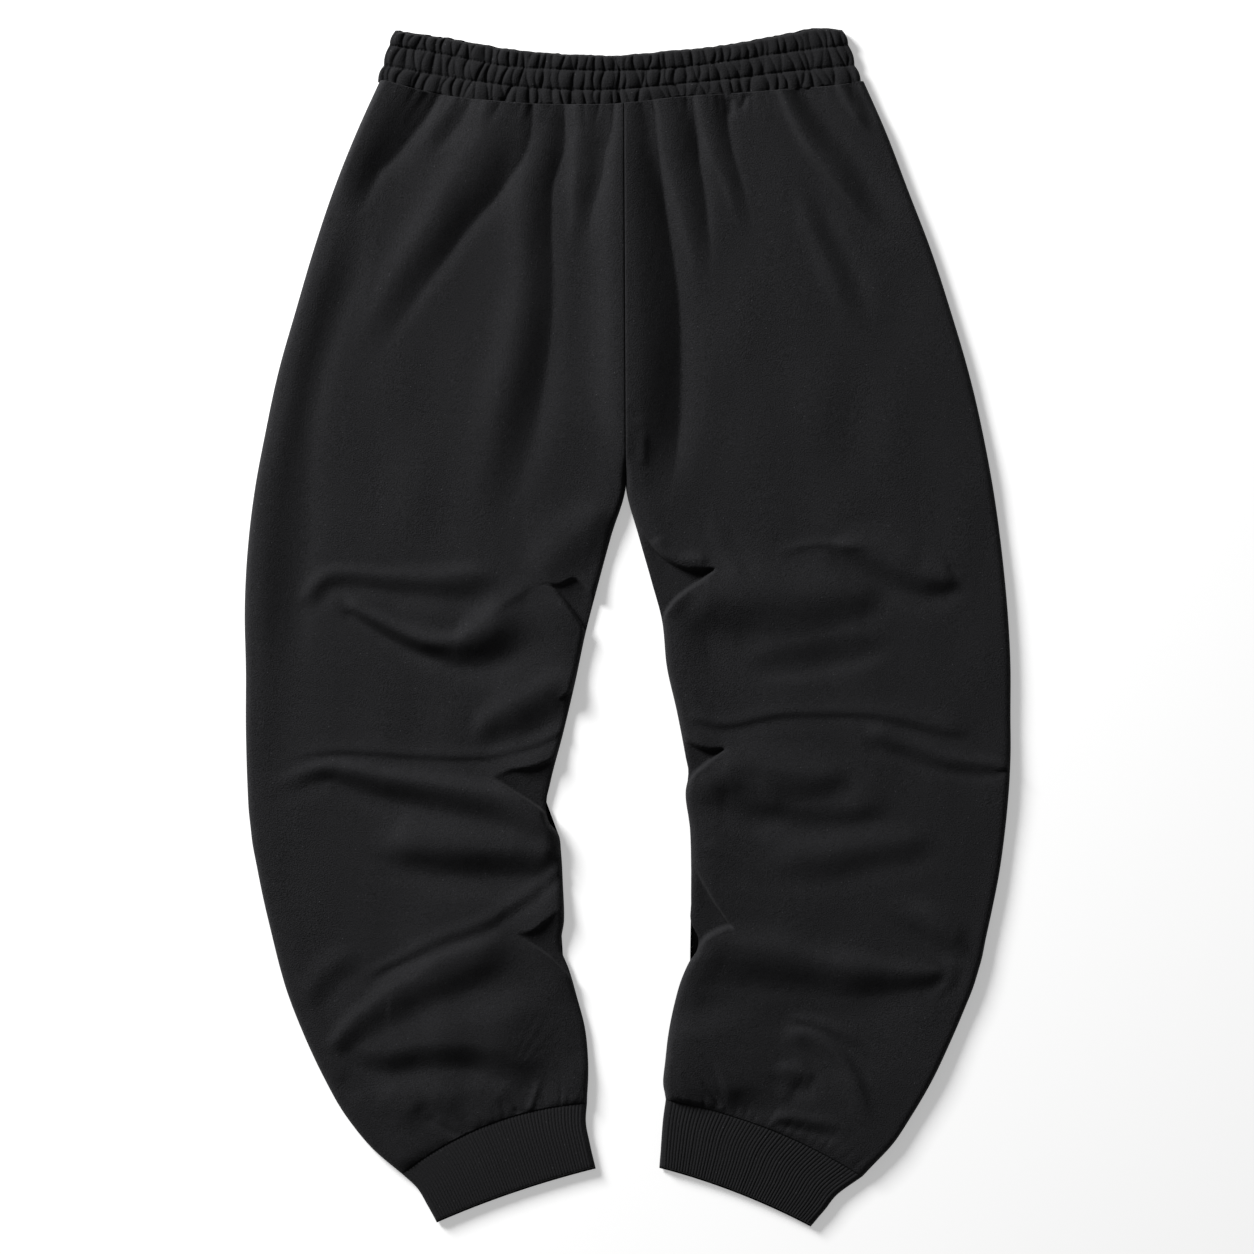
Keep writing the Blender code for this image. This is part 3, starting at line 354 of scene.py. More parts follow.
LEFT_FOLDS = [Fold(*row) for row in (
    ("knee roll", [(-146, -5), (-125, 5), (-108, 18), (-91, 29), (-77, 41)], 1.6, 9, 5, 2, 0.3, 0.2),
    ("ankle puff 1", [(-200, -402), (-189, -410)], 3.2, 12, 12, 2, 0, 0),
    ("ankle puff 2", [(-121, -392), (-112, -398)], 2.4, 11, 11, 2, 0, 0),
    ("ankle puff 3", [(-160, -400), (-152, -403)], 2, 10, 10, 2, 0, 0),
    ("ankle dent 1", [(-172, -412), (-167, -418)], -1.8, 7, 7, 2, 0, 0),
    ("ankle dent 2", [(-238, -388), (-233, -394)], -1.5, 7, 7, 2, 0, 0),
    ("cuff pucker 1", [(-141, -437), (-159, -425), (-180, -417)], -2, 4, 5, 1.6, 0, 0.7),
    ("cuff pucker 2", [(-131, -434), (-140, -422), (-148, -415)], -1.5, 3, 3, 1.6, 0, 0.7),
    ("cuff pucker 3", [(-90, -418), (-97, -408)], -1.5, 3, 3, 1.6, 0, 0.7),
    ("cuff pucker 4", [(-83, -414), (-79, -400), (-73, -382)], 1.5, 3, 3, 2, 0, 0.5),
)]

RIGHT_FOLDS = [Fold(*row) for row in (
    ("thigh crest", [(32, 8), (39, 16), (46, 23), (54, 29), (63, 35), (74, 42)], 1.2, 3, 7, 2, 0.1, 0.5),
    ("knee arc", [(122, 60), (139, 66), (164, 70), (190, 68), (215, 66)], 1.2, 4, 4, 2, 0.3, 0.3),
    ("ankle ridge", [(130, -345), (148, -346), (166, -352), (182, -366), (195, -388), (203, -410),
     (206, -428)], 3.8, 5, 10, 2, 0.15, 0.4),
    ("cuff line", [(62, -385), (71, -396), (80, -410)], -1.2, 2, 2, 1.5, 0.2, 0.1),
)]

# A pocket is the hole between two layers of a tuck, open at the inseam.  Between its upper and its lower
# path the cloth is let in to a floor, over a soft width at each path.  The floor has its height at the upper
# path's first point and falls from there.  Around a pocket the layers lie on each other and stand higher by
# the swell.
Pocket = namedtuple("Pocket", "name upper lower floor upper_soft lower_soft swell")

LEFT_POCKETS = [Pocket(*row) for row in (
    ("left thigh",
     [(-75.5, 37.5), (-58.5, 36.5), (-44, 41.5), (-30, 29), (-24.5, 22)],
     [(-74, 33), (-64.5, 32.5), (-57, 24.5), (-48.5, 13.5), (-40, 1.5), (-35, -9.5)], 11, 3, 1.8, 4),
    ("left calf",
     [(-117.5, -126), (-108, -124), (-98, -120.5), (-91, -120), (-78, -117.5), (-64, -111.5), (-55, -105.5)],
     [(-117.5, -128.5), (-108, -133.5), (-98, -140), (-86.5, -147), (-75.5, -154.5), (-65.5, -163),
      (-58.5, -171.5)], 12.5, 3.5, 1.8, 4.5),
    ("left shin",
     [(-93.5, -259), (-82.5, -258.5), (-69.5, -249), (-62.5, -242), (-57, -233), (-53.5, -224.5)],
     [(-94.5, -262.5), (-84, -269.5), (-74, -276), (-65.5, -282), (-58.5, -289)], 12, 3.5, 2, 4),
)]

RIGHT_POCKETS = [Pocket(*row) for row in (
    ("right thigh",
     [(15.5, 79), (23, 69), (31.5, 60.5), (40, 54.5), (50, 50), (63, 49.5), (72, 50), (75.5, 49.5)],
     [(26.5, -3.5), (30, 3.5), (35, 13.5), (41.5, 22), (50, 29), (59.5, 35.5), (70.5, 44), (75.5, 47.5)],
     8.5, 3, 1.8, 2),
    ("right calf",
     [(49.5, -94.5), (55.5, -98.5), (62, -101.5), (70.5, -103.5), (81, -103), (85, -103.5)],
     [(50, -141), (53.5, -132.5), (59.5, -125), (67, -119), (75.5, -112), (84, -106)], 9.5, 3, 2.5, 2.5),
    ("right shin",
     [(59.5, -205.5), (65.5, -217), (70.5, -225.5), (75.5, -234), (81, -242), (86.5, -250), (92, -256)],
     [(56, -279.5), (64, -270.5), (69, -265), (75.5, -261), (83.5, -257.5), (92, -256.5)], 9, 3, 2.5, 3),
)]
POCKET_FALL = 24.0      # length over which a floor loses most of its height above the lowest top
POCKET_FALL_WAY = (0.5, -0.85)  # the way a floor falls, away from the key light
POCKET_SWELL_REACH = 26.0
POCKET_SWELL_LIMIT = 3.0        # the swell has died out at this many reaches
POCKET_PATH_RUN = 60.0          # the two paths are prolonged by this at their ends
POCKET_TIP = (2.0, 5.0)         # a pocket starts this far before its tip and is full after this length

# ---------------------------------------------------------------- how the cloth is drawn out
ROLL_ANGLES = (0.0, 12.0, 26.0, 42.0, 58.0, 74.0, 90.0)
INNER_STEP = 4          # the inner face has every fourth row and column
UPPER_COLUMNS = 149     # between the two rolled edges
UNDER_COLUMNS = 28
CLOSE_COLUMNS = 0.62    # share of the columns that lie in the inner half, where the tucks are
COLUMN_EASE = 0.9       # how much of that lean is used
SPACING_SAMPLES = 4000
# Spacing of an upper panel's rows, at distances from the waist seam; the last ones count from the cuff seam.
WAIST_SPACING = ((0.0, 0.4), (1.5, 0.8), (9.0, 1.1), (22.0, 2.6), (300.0, 2.6), (345.0, 1.75))
CUFF_SPACING = ((22.0, 1.75), (10.0, 1.0), (0.0, 0.6))
UPPER_ROWS = 513
UNDER_ROWS = 97

WAIST_SEAM_TOP = 8.6    # a back panel is no higher than this where it meets the waistband
WAIST_RISE = 0.5        # and comes to its own height over this
CUFF_SEAM_TOP = 7.0     # it is this high where it meets the cuff
CUFF_RISE = 10.0        # and comes to its own height over this
CUFF_RISE_POWER = 2.5   # steeply at first
WAIST_DRAW = 60.0       # length over which a panel's rows are drawn to the waistband's line
CUFF_DRAW = 30.0        # and to the cuff's
UPPER_WALL = 1.6        # least thickness of a back panel
LOWEST_INNER = 2.3      # a back panel's inner face is never lower
SEAM_DROP = 1.3         # the two backs turn in at the centre seam by this much
SEAM_TURN = 1.8
PUCKER_PITCH = 9.0      # small puckers beside the waist and cuff seams
PUCKER_DEPTH = 1.0
PUCKER_LENGTH = (7.0, 22.0)
PUCKER_HALF_WIDTH = (1.2, 2.6)
PUCKER_STRENGTH = (0.3, 1.0)
PUCKER_JITTER = 0.35    # of the pitch
PUCKER_LEAN = 0.25
CREASE_POWER = 1.5      # a crease's section, where 2 would be round
WAIST_PUCKER_SEED = 11
CUFF_PUCKER_SEED = 21

UNEVEN = ((0.26, 35.0, 90.0, 10), (0.04, 9.0, 18.0, 14))    # depth, shortest and longest wave, waves
UNEVEN_SEED = 5


def through(knots, values, places):
    """A smooth curve through values at knots, read at places; values may have several columns."""
    knots = np.asarray(knots, float)
    values = np.asarray(values, float)
    places = np.asarray(places, float)
    slopes = np.gradient(values, knots, axis=0)
    before = np.clip(np.searchsorted(knots, places, side="right") - 1, 0, len(knots) - 2)
    step = knots[before + 1] - knots[before]
    f = (places - knots[before]) / step
    if values.ndim > 1:
        f = f[:, None]
        step = step[:, None]
    start = (2 * f**3 - 3 * f**2 + 1) * values[before] + (f**3 - 2 * f**2 + f) * step * slopes[before]
    end = (3 * f**2 - 2 * f**3) * values[before + 1] + (f**3 - f**2) * step * slopes[before + 1]
    return start + end


def ease(f):
    """0 to 1 with level ends."""
    f = np.clip(f, 0.0, 1.0)
    return f * f * (3.0 - 2.0 * f)


def middle_lengths(sections):
    """Length from the first section to each section, along the middle of the piece."""
    middles = np.array([((s.outer_x + s.inner_x) / 2, (s.outer_y + s.inner_y) / 2) for s in sections])
    steps = np.linalg.norm(np.diff(middles, axis=0), axis=1)
    return np.concatenate([[0.0], np.cumsum(steps)])


def section_grid(rows, distance, side):
    """Points at distances from the outer end of each section; side is 1 on the left leg, -1 on the right."""
    outer = rows[:, None, 0:2]
    across = rows[:, None, 2:4] - outer
    width = np.linalg.norm(across, axis=2, keepdims=True)
    across = across / width
    towards_waist = side * np.stack([-across[:, :, 1], across[:, :, 0]], axis=2)
    f = distance[:, :, None] / width
    bow = rows[:, None, 4:5] * 4.0 * f * (1.0 - f)
    return outer + distance[:, :, None] * across + bow * towards_waist


def smooth_path(points, count=32):
    """A path's points joined by a smooth curve of count steps."""
    points = np.array(points, float)
    return through(range(len(points)), points, np.linspace(0, len(points) - 1, count + 1))


def length_shares(path):
    """The share of a path's length at each of its points."""
    steps = np.linalg.norm(np.diff(path, axis=0), axis=1)
    return np.concatenate([[0.0], np.cumsum(steps)]) / steps.sum()


def path_offset(x, y, path):
    """Offset from a path, positive on the left of its way, and the share of its length nearest the point."""
    nearest = np.full(x.shape, np.inf)
    offset = np.zeros(x.shape)
    along = np.zeros(x.shape)
    ends = length_shares(path)
    for i, (a, b) in enumerate(zip(path, path[1:])):
        run = b - a
        f = np.clip(((x - a[0]) * run[0] + (y - a[1]) * run[1]) / (run @ run), 0.0, 1.0)
        dx = x - a[0] - f * run[0]
        dy = y - a[1] - f * run[1]
        distance = np.hypot(dx, dy)
        closer = distance < nearest
        nearest = np.where(closer, distance, nearest)
        offset = np.where(closer, np.sign(run[0] * dy - run[1] * dx) * distance, offset)
        along = np.where(closer, ends[i] + f * (ends[i + 1] - ends[i]), along)
    return offset, along


def near_path(x, y, path, reach):
    """Which points lie within reach of a path's box."""
    low = path.min(axis=0) - reach
    high = path.max(axis=0) + reach
    return (x > low[0]) & (x < high[0]) & (y > low[1]) & (y < high[1])


def faded_ends(values, along, start, end):
    """Values that come and go over the shares start and end of a path's length."""
    if start > 0:
        values = values * ease(along / start)
    if end > 0:
        values = values * ease((1.0 - along) / end)
    return values


def slope_relief(x, y, slopes):
    """Height that the slopes add at each point, most of it above the level cloth."""
    relief = np.zeros_like(x)
    for slope in slopes:
        way = smooth_path(slope.path)
        path, half = way[:, :2], way[:, 2]
        reach = half.max() * (1.0 + SLOPE_REACH * max(slope.rise, slope.fall))
        near = near_path(x, y, path, reach)
        if not near.any():
            continue
        offset, along = path_offset(x[near], y[near], path)
        half = np.interp(along, length_shares(path), half)
        sharp = slope.sharp[0] + (slope.sharp[1] - slope.sharp[0]) * along
        f = np.clip((offset / half + 1.0) / 2.0, 0.0, 1.0)
        step = ease(f) + sharp * (1.0 - (1.0 - f) ** 2 - ease(f)) - SLOPE_LOW
        past = np.maximum(np.abs(offset) / half - 1.0, 0.0)
        level = past / np.where(offset > 0, slope.rise, slope.fall)
        fade = np.exp(-(level**2))
        fade = np.where(offset > 0, fade, fade + sharp * (np.exp(-CREASE_FADE * level) - fade))
        relief[near] += faded_ends(slope.steep * half * step * fade, along, slope.start, slope.end)
    return relief


def fold_relief(x, y, folds):
    """Height that the folds add at each point."""
    relief = np.zeros_like(x)
    for fold in folds:
        path = smooth_path(fold.path)
        near = near_path(x, y, path, FOLD_REACH * max(fold.left, fold.right))
        if not near.any():
            continue
        offset, along = path_offset(x[near], y[near], path)
        width = np.where(offset > 0, fold.left, fold.right)
        profile = np.exp(-(np.abs(offset) / width) ** fold.sharp)
        relief[near] += fold.height * faded_ends(profile, along, fold.start, fold.end)
    return relief


def extended(path, length):
    """A path prolonged straight at both ends."""
    first = path[0] - (path[1] - path[0]) / np.linalg.norm(path[1] - path[0]) * length
    last = path[-1] + (path[-1] - path[-2]) / np.linalg.norm(path[-1] - path[-2]) * length
    return np.concatenate([[first], path, [last]])


def let_in_pockets(x, y, height, pockets):
    """The height with the floor of each pocket let in between its two paths."""
    height = height.copy()
    for pocket in pockets:
        upper = smooth_path(pocket.upper)
        lower = smooth_path(pocket.lower)
        both = np.concatenate([upper, lower])
        near = near_path(x, y, both, POCKET_SWELL_LIMIT * POCKET_SWELL_REACH)
        if not near.any():
            continue
        px, py = x[near], y[near]
        middle = both.mean(axis=0)
        away = np.hypot(px - middle[0], py - middle[1]) / POCKET_SWELL_REACH
        first_gap = np.linalg.norm(upper[0] - lower[0])
        last_gap = np.linalg.norm(upper[-1] - lower[-1])
        tip_at, mouth_at = (0, -1) if first_gap < last_gap else (-1, 0)
        tip = (upper[tip_at] + lower[tip_at]) / 2
        inwards = (upper[mouth_at] + lower[mouth_at]) / 2 - tip
        inwards = inwards / np.linalg.norm(inwards)
        from_tip = (px - tip[0]) * inwards[0] + (py - tip[1]) * inwards[1]
        below = -path_offset(px, py, extended(upper, POCKET_PATH_RUN))[0]
        above = path_offset(px, py, extended(lower, POCKET_PATH_RUN))[0]
        hole = ease(below / pocket.upper_soft) * ease(above / pocket.lower_soft)
        hole = hole * ease((from_tip + POCKET_TIP[0]) / POCKET_TIP[1])
        down = (px - upper[0][0]) * POCKET_FALL_WAY[0] + (py - upper[0][1]) * POCKET_FALL_WAY[1]
        floor = LOWEST_TOP + (pocket.floor - LOWEST_TOP) * np.exp(-np.maximum(down, 0.0) / POCKET_FALL)
        around = height[near] + pocket.swell * np.exp(-away**2)
        height[near] = around + (np.minimum(floor, around) - around) * hole
    return height


def unevenness(x, y, seed):
    """Soft seeded waves that no surface of cloth is without."""
    chance = np.random.default_rng(seed)
    height = np.zeros_like(x)
    for depth, shortest, longest, count in UNEVEN:
        for _ in range(count):
            wave = chance.uniform(shortest, longest)
            heading = chance.uniform(0.0, math.pi)
            phase = chance.uniform(0.0, 2.0 * math.pi)
            way = (x * math.cos(heading) + y * math.sin(heading)) * 2.0 * math.pi / wave
            height += depth * math.sqrt(2.0 / count) * np.sin(way + phase)
    return height


def puckers(across, from_seam, width, seed):
    """Short creases that run into a gathered seam, uneven in place, length and depth."""
    chance = np.random.default_rng(seed)
    relief = np.zeros_like(across)
    count = int(width / PUCKER_PITCH)
    for i in range(count):
        at = (i + 0.5 + chance.uniform(-PUCKER_JITTER, PUCKER_JITTER)) * width / count
        length = chance.uniform(*PUCKER_LENGTH)
        depth = PUCKER_DEPTH * chance.uniform(*PUCKER_STRENGTH)
        half = chance.uniform(*PUCKER_HALF_WIDTH)
        lean = chance.uniform(-PUCKER_LEAN, PUCKER_LEAN)
        place = across * width - at - lean * from_seam
        fade = np.exp(-((from_seam / length) ** 2))
        relief -= depth * fade * np.exp(-np.abs(place / half) ** CREASE_POWER)
    return relief


# ---------------------------------------------------------------- meshes
def add_mesh(name, points, faces, uv, material, node):
    """One cloth piece from points in millimetres, which stands for its CAD node."""
    mesh = bpy.data.meshes.new(name)
    points = np.array(points, float)
    points[:, 0] -= CENTRE[0]
    points[:, 1] -= CENTRE[1]
    mesh.from_pydata((points * MM).tolist(), [], faces)
    body = bmesh.new()
    body.from_mesh(mesh)
    bmesh.ops.recalc_face_normals(body, faces=body.faces)
    if body.calc_volume(signed=True) < 0:
        bmesh.ops.reverse_faces(body, faces=body.faces)
    body.to_mesh(mesh)
    body.free()
    corner = np.zeros(len(mesh.loops), int)
    mesh.loops.foreach_get("vertex_index", corner)
    layer = mesh.uv_layers.new(name="cloth")
    layer.data.foreach_set("uv", (np.array(uv)[corner] * MM).astype(np.float32).ravel())
    mesh.shade_smooth()
    mesh.materials.append(material)
    thing = bpy.data.objects.new(name, mesh)
    bpy.context.scene.collection.objects.link(thing)
    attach(thing, "root")
    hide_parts(node)
    return thing


def shell_faces(rows, columns, step):
    """Faces of a shell: a fine outer grid, a coarse inner grid after it, and a rim joining their edges."""
    coarse_rows = (rows - 1) // step + 1
    coarse_columns = (columns - 1) // step + 1
    first_inner = rows * columns

    def inner(r, c):
        return first_inner + r * coarse_columns + c

    r, c = np.meshgrid(np.arange(rows - 1), np.arange(columns - 1), indexing="ij")
    a = (r * columns + c).ravel()
    faces = np.stack([a, a + columns, a + columns + 1, a + 1], axis=1).tolist()
    r, c = np.meshgrid(np.arange(coarse_rows - 1), np.arange(coarse_columns - 1), indexing="ij")
    b = first_inner + (r * coarse_columns + c).ravel()
    faces += np.stack([b, b + 1, b + coarse_columns + 1, b + coarse_columns], axis=1).tolist()
    for i in range(coarse_rows - 1):
        for c, flip in ((0, False), (columns - 1, True)):
            edge = [(i * step + k) * columns + c for k in range(step + 1)]
            face = edge + [inner(i + 1, c // step), inner(i, c // step)]
            faces.append(face if flip else face[::-1])
    for i in range(coarse_columns - 1):
        for r, flip in ((0, True), (rows - 1, False)):
            edge = [r * columns + i * step + k for k in range(step + 1)]
            face = edge + [inner(r // step, i + 1), inner(r // step, i)]
            faces.append(face if flip else face[::-1])
    return faces


def lowest_round(height, reach):
    """The lowest value within reach rows and columns of each point."""
    result = height.copy()
    for axis in (0, 1):
        lowest = result.copy()
        for shift in range(1, reach + 1):
            for way in (-shift, shift):
                moved = np.roll(result, way, axis=axis)
                edge = [slice(None), slice(None)]
                edge[axis] = slice(0, way) if way > 0 else slice(way, None)
                moved[tuple(edge)] = np.inf
                lowest = np.minimum(lowest, moved)
        result = lowest
    return result


def spaced(total):
    """Distances of an upper panel's rows from the waist seam, closer beside the seams and the tucks."""
    knots = [at for at, _ in WAIST_SPACING] + [total - at for at, _ in CUFF_SPACING]
    spacing = [gap for _, gap in WAIST_SPACING] + [gap for _, gap in CUFF_SPACING]
    fine = np.linspace(0.0, total, SPACING_SAMPLES)
    gaps = np.interp((fine[1:] + fine[:-1]) / 2, knots, spacing)
    counted = np.concatenate([[0.0], np.cumsum(np.diff(fine) / gaps)])
    return np.interp(np.linspace(0.0, counted[-1], UPPER_ROWS), counted, fine)


def edge_columns(width, roll, shares):
    """Distances from the outer edge for each section, with the sine and cosine of each column's roll."""
    angles = np.radians(ROLL_ANGLES[:-1])
    arc = roll * (1.0 - np.cos(angles))
    flat = roll + shares * (width[:, None] - 2 * roll)
    left = np.broadcast_to(arc, (len(width), len(arc)))
    distance = np.concatenate([left, flat, (width[:, None] - left)[:, ::-1]], axis=1)
    lift = np.concatenate([np.sin(angles), np.ones(len(shares)), np.sin(angles)[::-1]])
    turn = np.concatenate([np.cos(angles), np.zeros(len(shares)), -np.cos(angles)[::-1]])
    return distance, lift, turn


def column_shares(count):
    """Shares across a panel, more of them in the inner half."""
    u = np.linspace(0.0, 1.0, count)
    lean = 2.0 * CLOSE_COLUMNS - 1.0
    return u + lean * u * (1.0 - u) * 2.0 * COLUMN_EASE


def band_seam_y(x):
    """The waistband's lower line."""
    left = BAND_LEFT[0] + BAND_LEFT[1]
    right = BAND_RIGHT[0] + BAND_RIGHT[1]
    place = np.clip((2.0 * x - left - right) / (right - left), -1.0, 1.0)
    return through([row.place for row in BAND_LINES], [row.seam for row in BAND_LINES], place)


def centre_seam_x(y):
    """The centre seam, straight from the waistband to the crotch."""
    return np.interp(y, (CROTCH[1], CENTRE_TOP[1]), (CROTCH[0], CENTRE_TOP[0]))


def panel_sections(sections, at, side, seam_shift):
    """A panel's sections at lengths along it, kept on its own side of the centre seam."""
    rows = through(middle_lengths(sections), sections, at)
    beside = centre_seam_x(rows[:, 3]) - side * CENTRE_GAP / 2
    moved = beside + seam_shift * (1.0 - ease((CROTCH[1] + CROTCH_TURN - rows[:, 3]) / CROTCH_TURN))
    rows[:, 2] += moved - beside
    rows[:, 2] = np.minimum(rows[:, 2], moved) if side > 0 else np.maximum(rows[:, 2], moved)
    return rows


def upper_top(x, y, from_outer, from_inner, from_waist, from_cuff, parted, width, side):
    """Height of a back panel's outer face."""
    outer_puff, inner_puff = EDGE_PUFF[side]
    puff = outer_puff * np.exp(-(((from_outer - EDGE_PUFF_AT) / EDGE_PUFF_WIDTH) ** 2))
    puff += inner_puff * parted * np.exp(-(((from_inner - EDGE_PUFF_AT) / EDGE_PUFF_WIDTH) ** 2))
    height = REST_HEIGHT + puff
    height += slope_relief(x, y, WAIST_SLOPES + (LEFT_SLOPES if side > 0 else RIGHT_SLOPES))
    height += fold_relief(x, y, WAIST_FOLDS + (LEFT_FOLDS if side > 0 else RIGHT_FOLDS))
    height += WAIST_LIFT * np.exp(-((from_waist / WAIST_LIFT_LENGTH) ** 2))
    height = let_in_pockets(x, y, height, LEFT_POCKETS if side > 0 else RIGHT_POCKETS)
    share = from_outer / (from_outer + from_inner)
    height += puckers(share, from_waist, width[0], WAIST_PUCKER_SEED + side)
    height += puckers(share, from_cuff, width[-1], CUFF_PUCKER_SEED + side)
    height += unevenness(x, y, UNEVEN_SEED)
    height = LOWEST_TOP + np.logaddexp(0.0, (height - LOWEST_TOP) * LOW_SHARPNESS) / LOW_SHARPNESS
    height = HIGHEST_TOP - np.logaddexp(0.0, (HIGHEST_TOP - height) * HIGH_SHARPNESS) / HIGH_SHARPNESS
    at_seam = np.minimum(height, WAIST_SEAM_TOP)
    height = at_seam + (height - at_seam) * ease(from_waist / WAIST_RISE)
    cuff = 1.0 - (1.0 - np.clip(from_cuff / CUFF_RISE, 0.0, 1.0)) ** CUFF_RISE_POWER
    height = CUFF_SEAM_TOP + (height - CUFF_SEAM_TOP) * cuff
    seam = (1.0 - parted) * (1.0 - np.sqrt(1.0 - (1.0 - np.clip(from_inner / SEAM_TURN, 0.0, 1.0)) ** 2))
    return height - SEAM_DROP * seam


def cuff_edge(cuff, shares, side):
    """Points of a cuff's seam at shares of its width."""
    row = np.array([cuff[0]], float)
    width = math.hypot(row[0, 2] - row[0, 0], row[0, 3] - row[0, 1])
    return section_grid(row, (shares * width)[None, :], side)[0]


def make_panel(name, sections, cuff, side, upper, material):
    """A back or a front of one leg, from the waist seam to the cuff seam."""
    roll = UPPER_ROLL if upper else UNDER_ROLL
    total = middle_lengths(sections)[-1]
    at = spaced(total) if upper else np.linspace(0.0, total, UNDER_ROWS)
    rows = panel_sections(sections, at, side, 0.0 if upper else FRONT_SEAM_SHIFT)
    parted = ease((CROTCH[1] + CROTCH_TURN - rows[:, 3]) / CROTCH_TURN)[:, None]
    width = np.hypot(rows[:, 2] - rows[:, 0], rows[:, 3] - rows[:, 1])
    columns = UPPER_COLUMNS if upper else UNDER_COLUMNS
    distance, lift, turn = edge_columns(width, roll, column_shares(columns))
    open_edge = np.where(distance > width[:, None] / 2, parted, 1.0)
    outer_xy = section_grid(rows, distance, side)
    inner_xy = section_grid(rows, distance + CLOTH * turn * open_edge, side)
    shift = (band_seam_y(outer_xy[0, :, 0]) - outer_xy[0, :, 1]) * (1.0 - ease(at / WAIST_DRAW))[:, None]
    outer_xy[:, :, 1] += shift
    inner_xy[:, :, 1] += shift
    edge = cuff_edge(cuff, distance[-1] / width[-1], side) - outer_xy[-1]
    drawn = edge[None, :, :] * (1.0 - ease((total - at) / CUFF_DRAW))[:, None, None]
    outer_xy += drawn
    inner_xy += drawn

    rounding = open_edge * lift + (1.0 - open_edge)
    if upper:
        from_inner = width[:, None] - distance
        from_waist = np.broadcast_to(at[:, None], distance.shape)
        top = upper_top(outer_xy[:, :, 0], outer_xy[:, :, 1], distance, from_inner, from_waist,
                        total - from_waist, parted, width, side)
        seam_z = SEAM_HEIGHT + SIDE_GAP / 2
        outer_z = seam_z + (top - seam_z) * rounding
        inner_z = np.maximum(lowest_round(outer_z, INNER_STEP) - UPPER_WALL, LOWEST_INNER)
        inner_z = np.where(rounding < 1e-6, seam_z, inner_z)
    else:
        seam_z = SEAM_HEIGHT - SIDE_GAP / 2
        outer_z = seam_z * (1.0 - rounding)
        inner_z = outer_z + CLOTH * rounding

    coarse = (slice(None, None, INNER_STEP), slice(None, None, INNER_STEP))
    outer = np.concatenate([outer_xy.reshape(-1, 2), outer_z.reshape(-1, 1)], axis=1)
    inner = np.concatenate([inner_xy[coarse].reshape(-1, 2), inner_z[coarse].reshape(-1, 1)], axis=1)
    uv = np.stack([distance, np.broadcast_to(at[:, None], distance.shape)], axis=2)
    uv = np.concatenate([uv.reshape(-1, 2), uv[coarse].reshape(-1, 2)])
    faces = shell_faces(*distance.shape, INNER_STEP)
    return add_mesh(name + "_cloth", np.concatenate([outer, inner]), faces, uv, material, name)


# ---------------------------------------------------------------- flattened tubes
def tube_faces(loops, around):
    """Quads of a grid that closes on itself both ways."""
    r, c = np.meshgrid(np.arange(loops), np.arange(around), indexing="ij")
    r2 = (r + 1) % loops
    c2 = (c + 1) % around
    quads = [(r * around + c), (r2 * around + c), (r2 * around + c2), (r * around + c2)]
    return np.stack([q.ravel() for q in quads], axis=1).tolist()


def quarter(f):
    """A quarter round's height at a share f of its width."""
    return np.sqrt(np.clip(1.0 - (1.0 - np.clip(f, 0.0, 1.0)) ** 2, 0.0, 1.0))


RIM_SHARES = (0.0, 0.06, 0.16, 0.32, 0.55, 0.8)     # rings over a tube's rounded rim


def tube_steps(rim, length, rows, slit_rows):
    """Shares of a tube's length at its rings, outside and then back through its slit."""
    close = np.array(RIM_SHARES) * rim / length
    middle = np.linspace(rim / length, 1.0 - rim / length, rows)
    return np.concatenate([close, middle, 1.0 - close[::-1]]), np.linspace(1.0, 0.0, slit_rows)


def ring_shares(width, roll, upper_count, under_count):
    """Shares of the width over a tube's upper side and back under it, each with its points' lift."""
    angles = np.radians(ROLL_ANGLES[:-1])
    arc = roll * (1.0 - np.cos(angles)) / width
    flat = np.linspace(roll / width, 1.0 - roll / width, upper_count)
    under = np.linspace(1.0 - roll / width, roll / width, under_count)
    upper_share = np.concatenate([arc, flat, (1.0 - arc)[::-1]])
    upper_lift = np.concatenate([np.sin(angles), np.ones(len(flat)), np.sin(angles)[::-1]])
    under_share = np.concatenate([(1.0 - arc)[1:], under, arc[:0:-1]])
    under_lift = np.concatenate([np.sin(angles)[1:], np.ones(len(under)), np.sin(angles)[:0:-1]])
    return upper_share, upper_lift, under_share, under_lift


def ring_heights(top, edge, upper_lift, under_lift, slit, middle, inside):
    """Heights round a tube's outer face or, inside, round its slit."""
    if inside:
        upper_z = np.where(upper_lift > 0, slit[1], middle)
        return np.concatenate([upper_z, np.full(len(under_lift), slit[0])])
    upper_z = slit[1] + (top - slit[1]) * edge
    upper_z = middle + (upper_z - middle) * upper_lift
    under_z = slit[0] * (1.0 - edge)
    under_z = middle + (under_z - middle) * under_lift
    return np.concatenate([upper_z, under_z])


def make_tube(node, ring, steps, material):
    """A flattened tube, from the function that gives a ring's points at a share of its length."""
    outer, inner = steps
    rings = [ring(t, False) for t in outer] + [ring(t, True) for t in inner]
    points = np.concatenate([p for p, _ in rings])
    uv = np.concatenate([u for _, u in rings])
    faces = tube_faces(len(rings), len(rings[0][0]))
    return add_mesh(node + "_cloth", points, faces, uv, material, node)


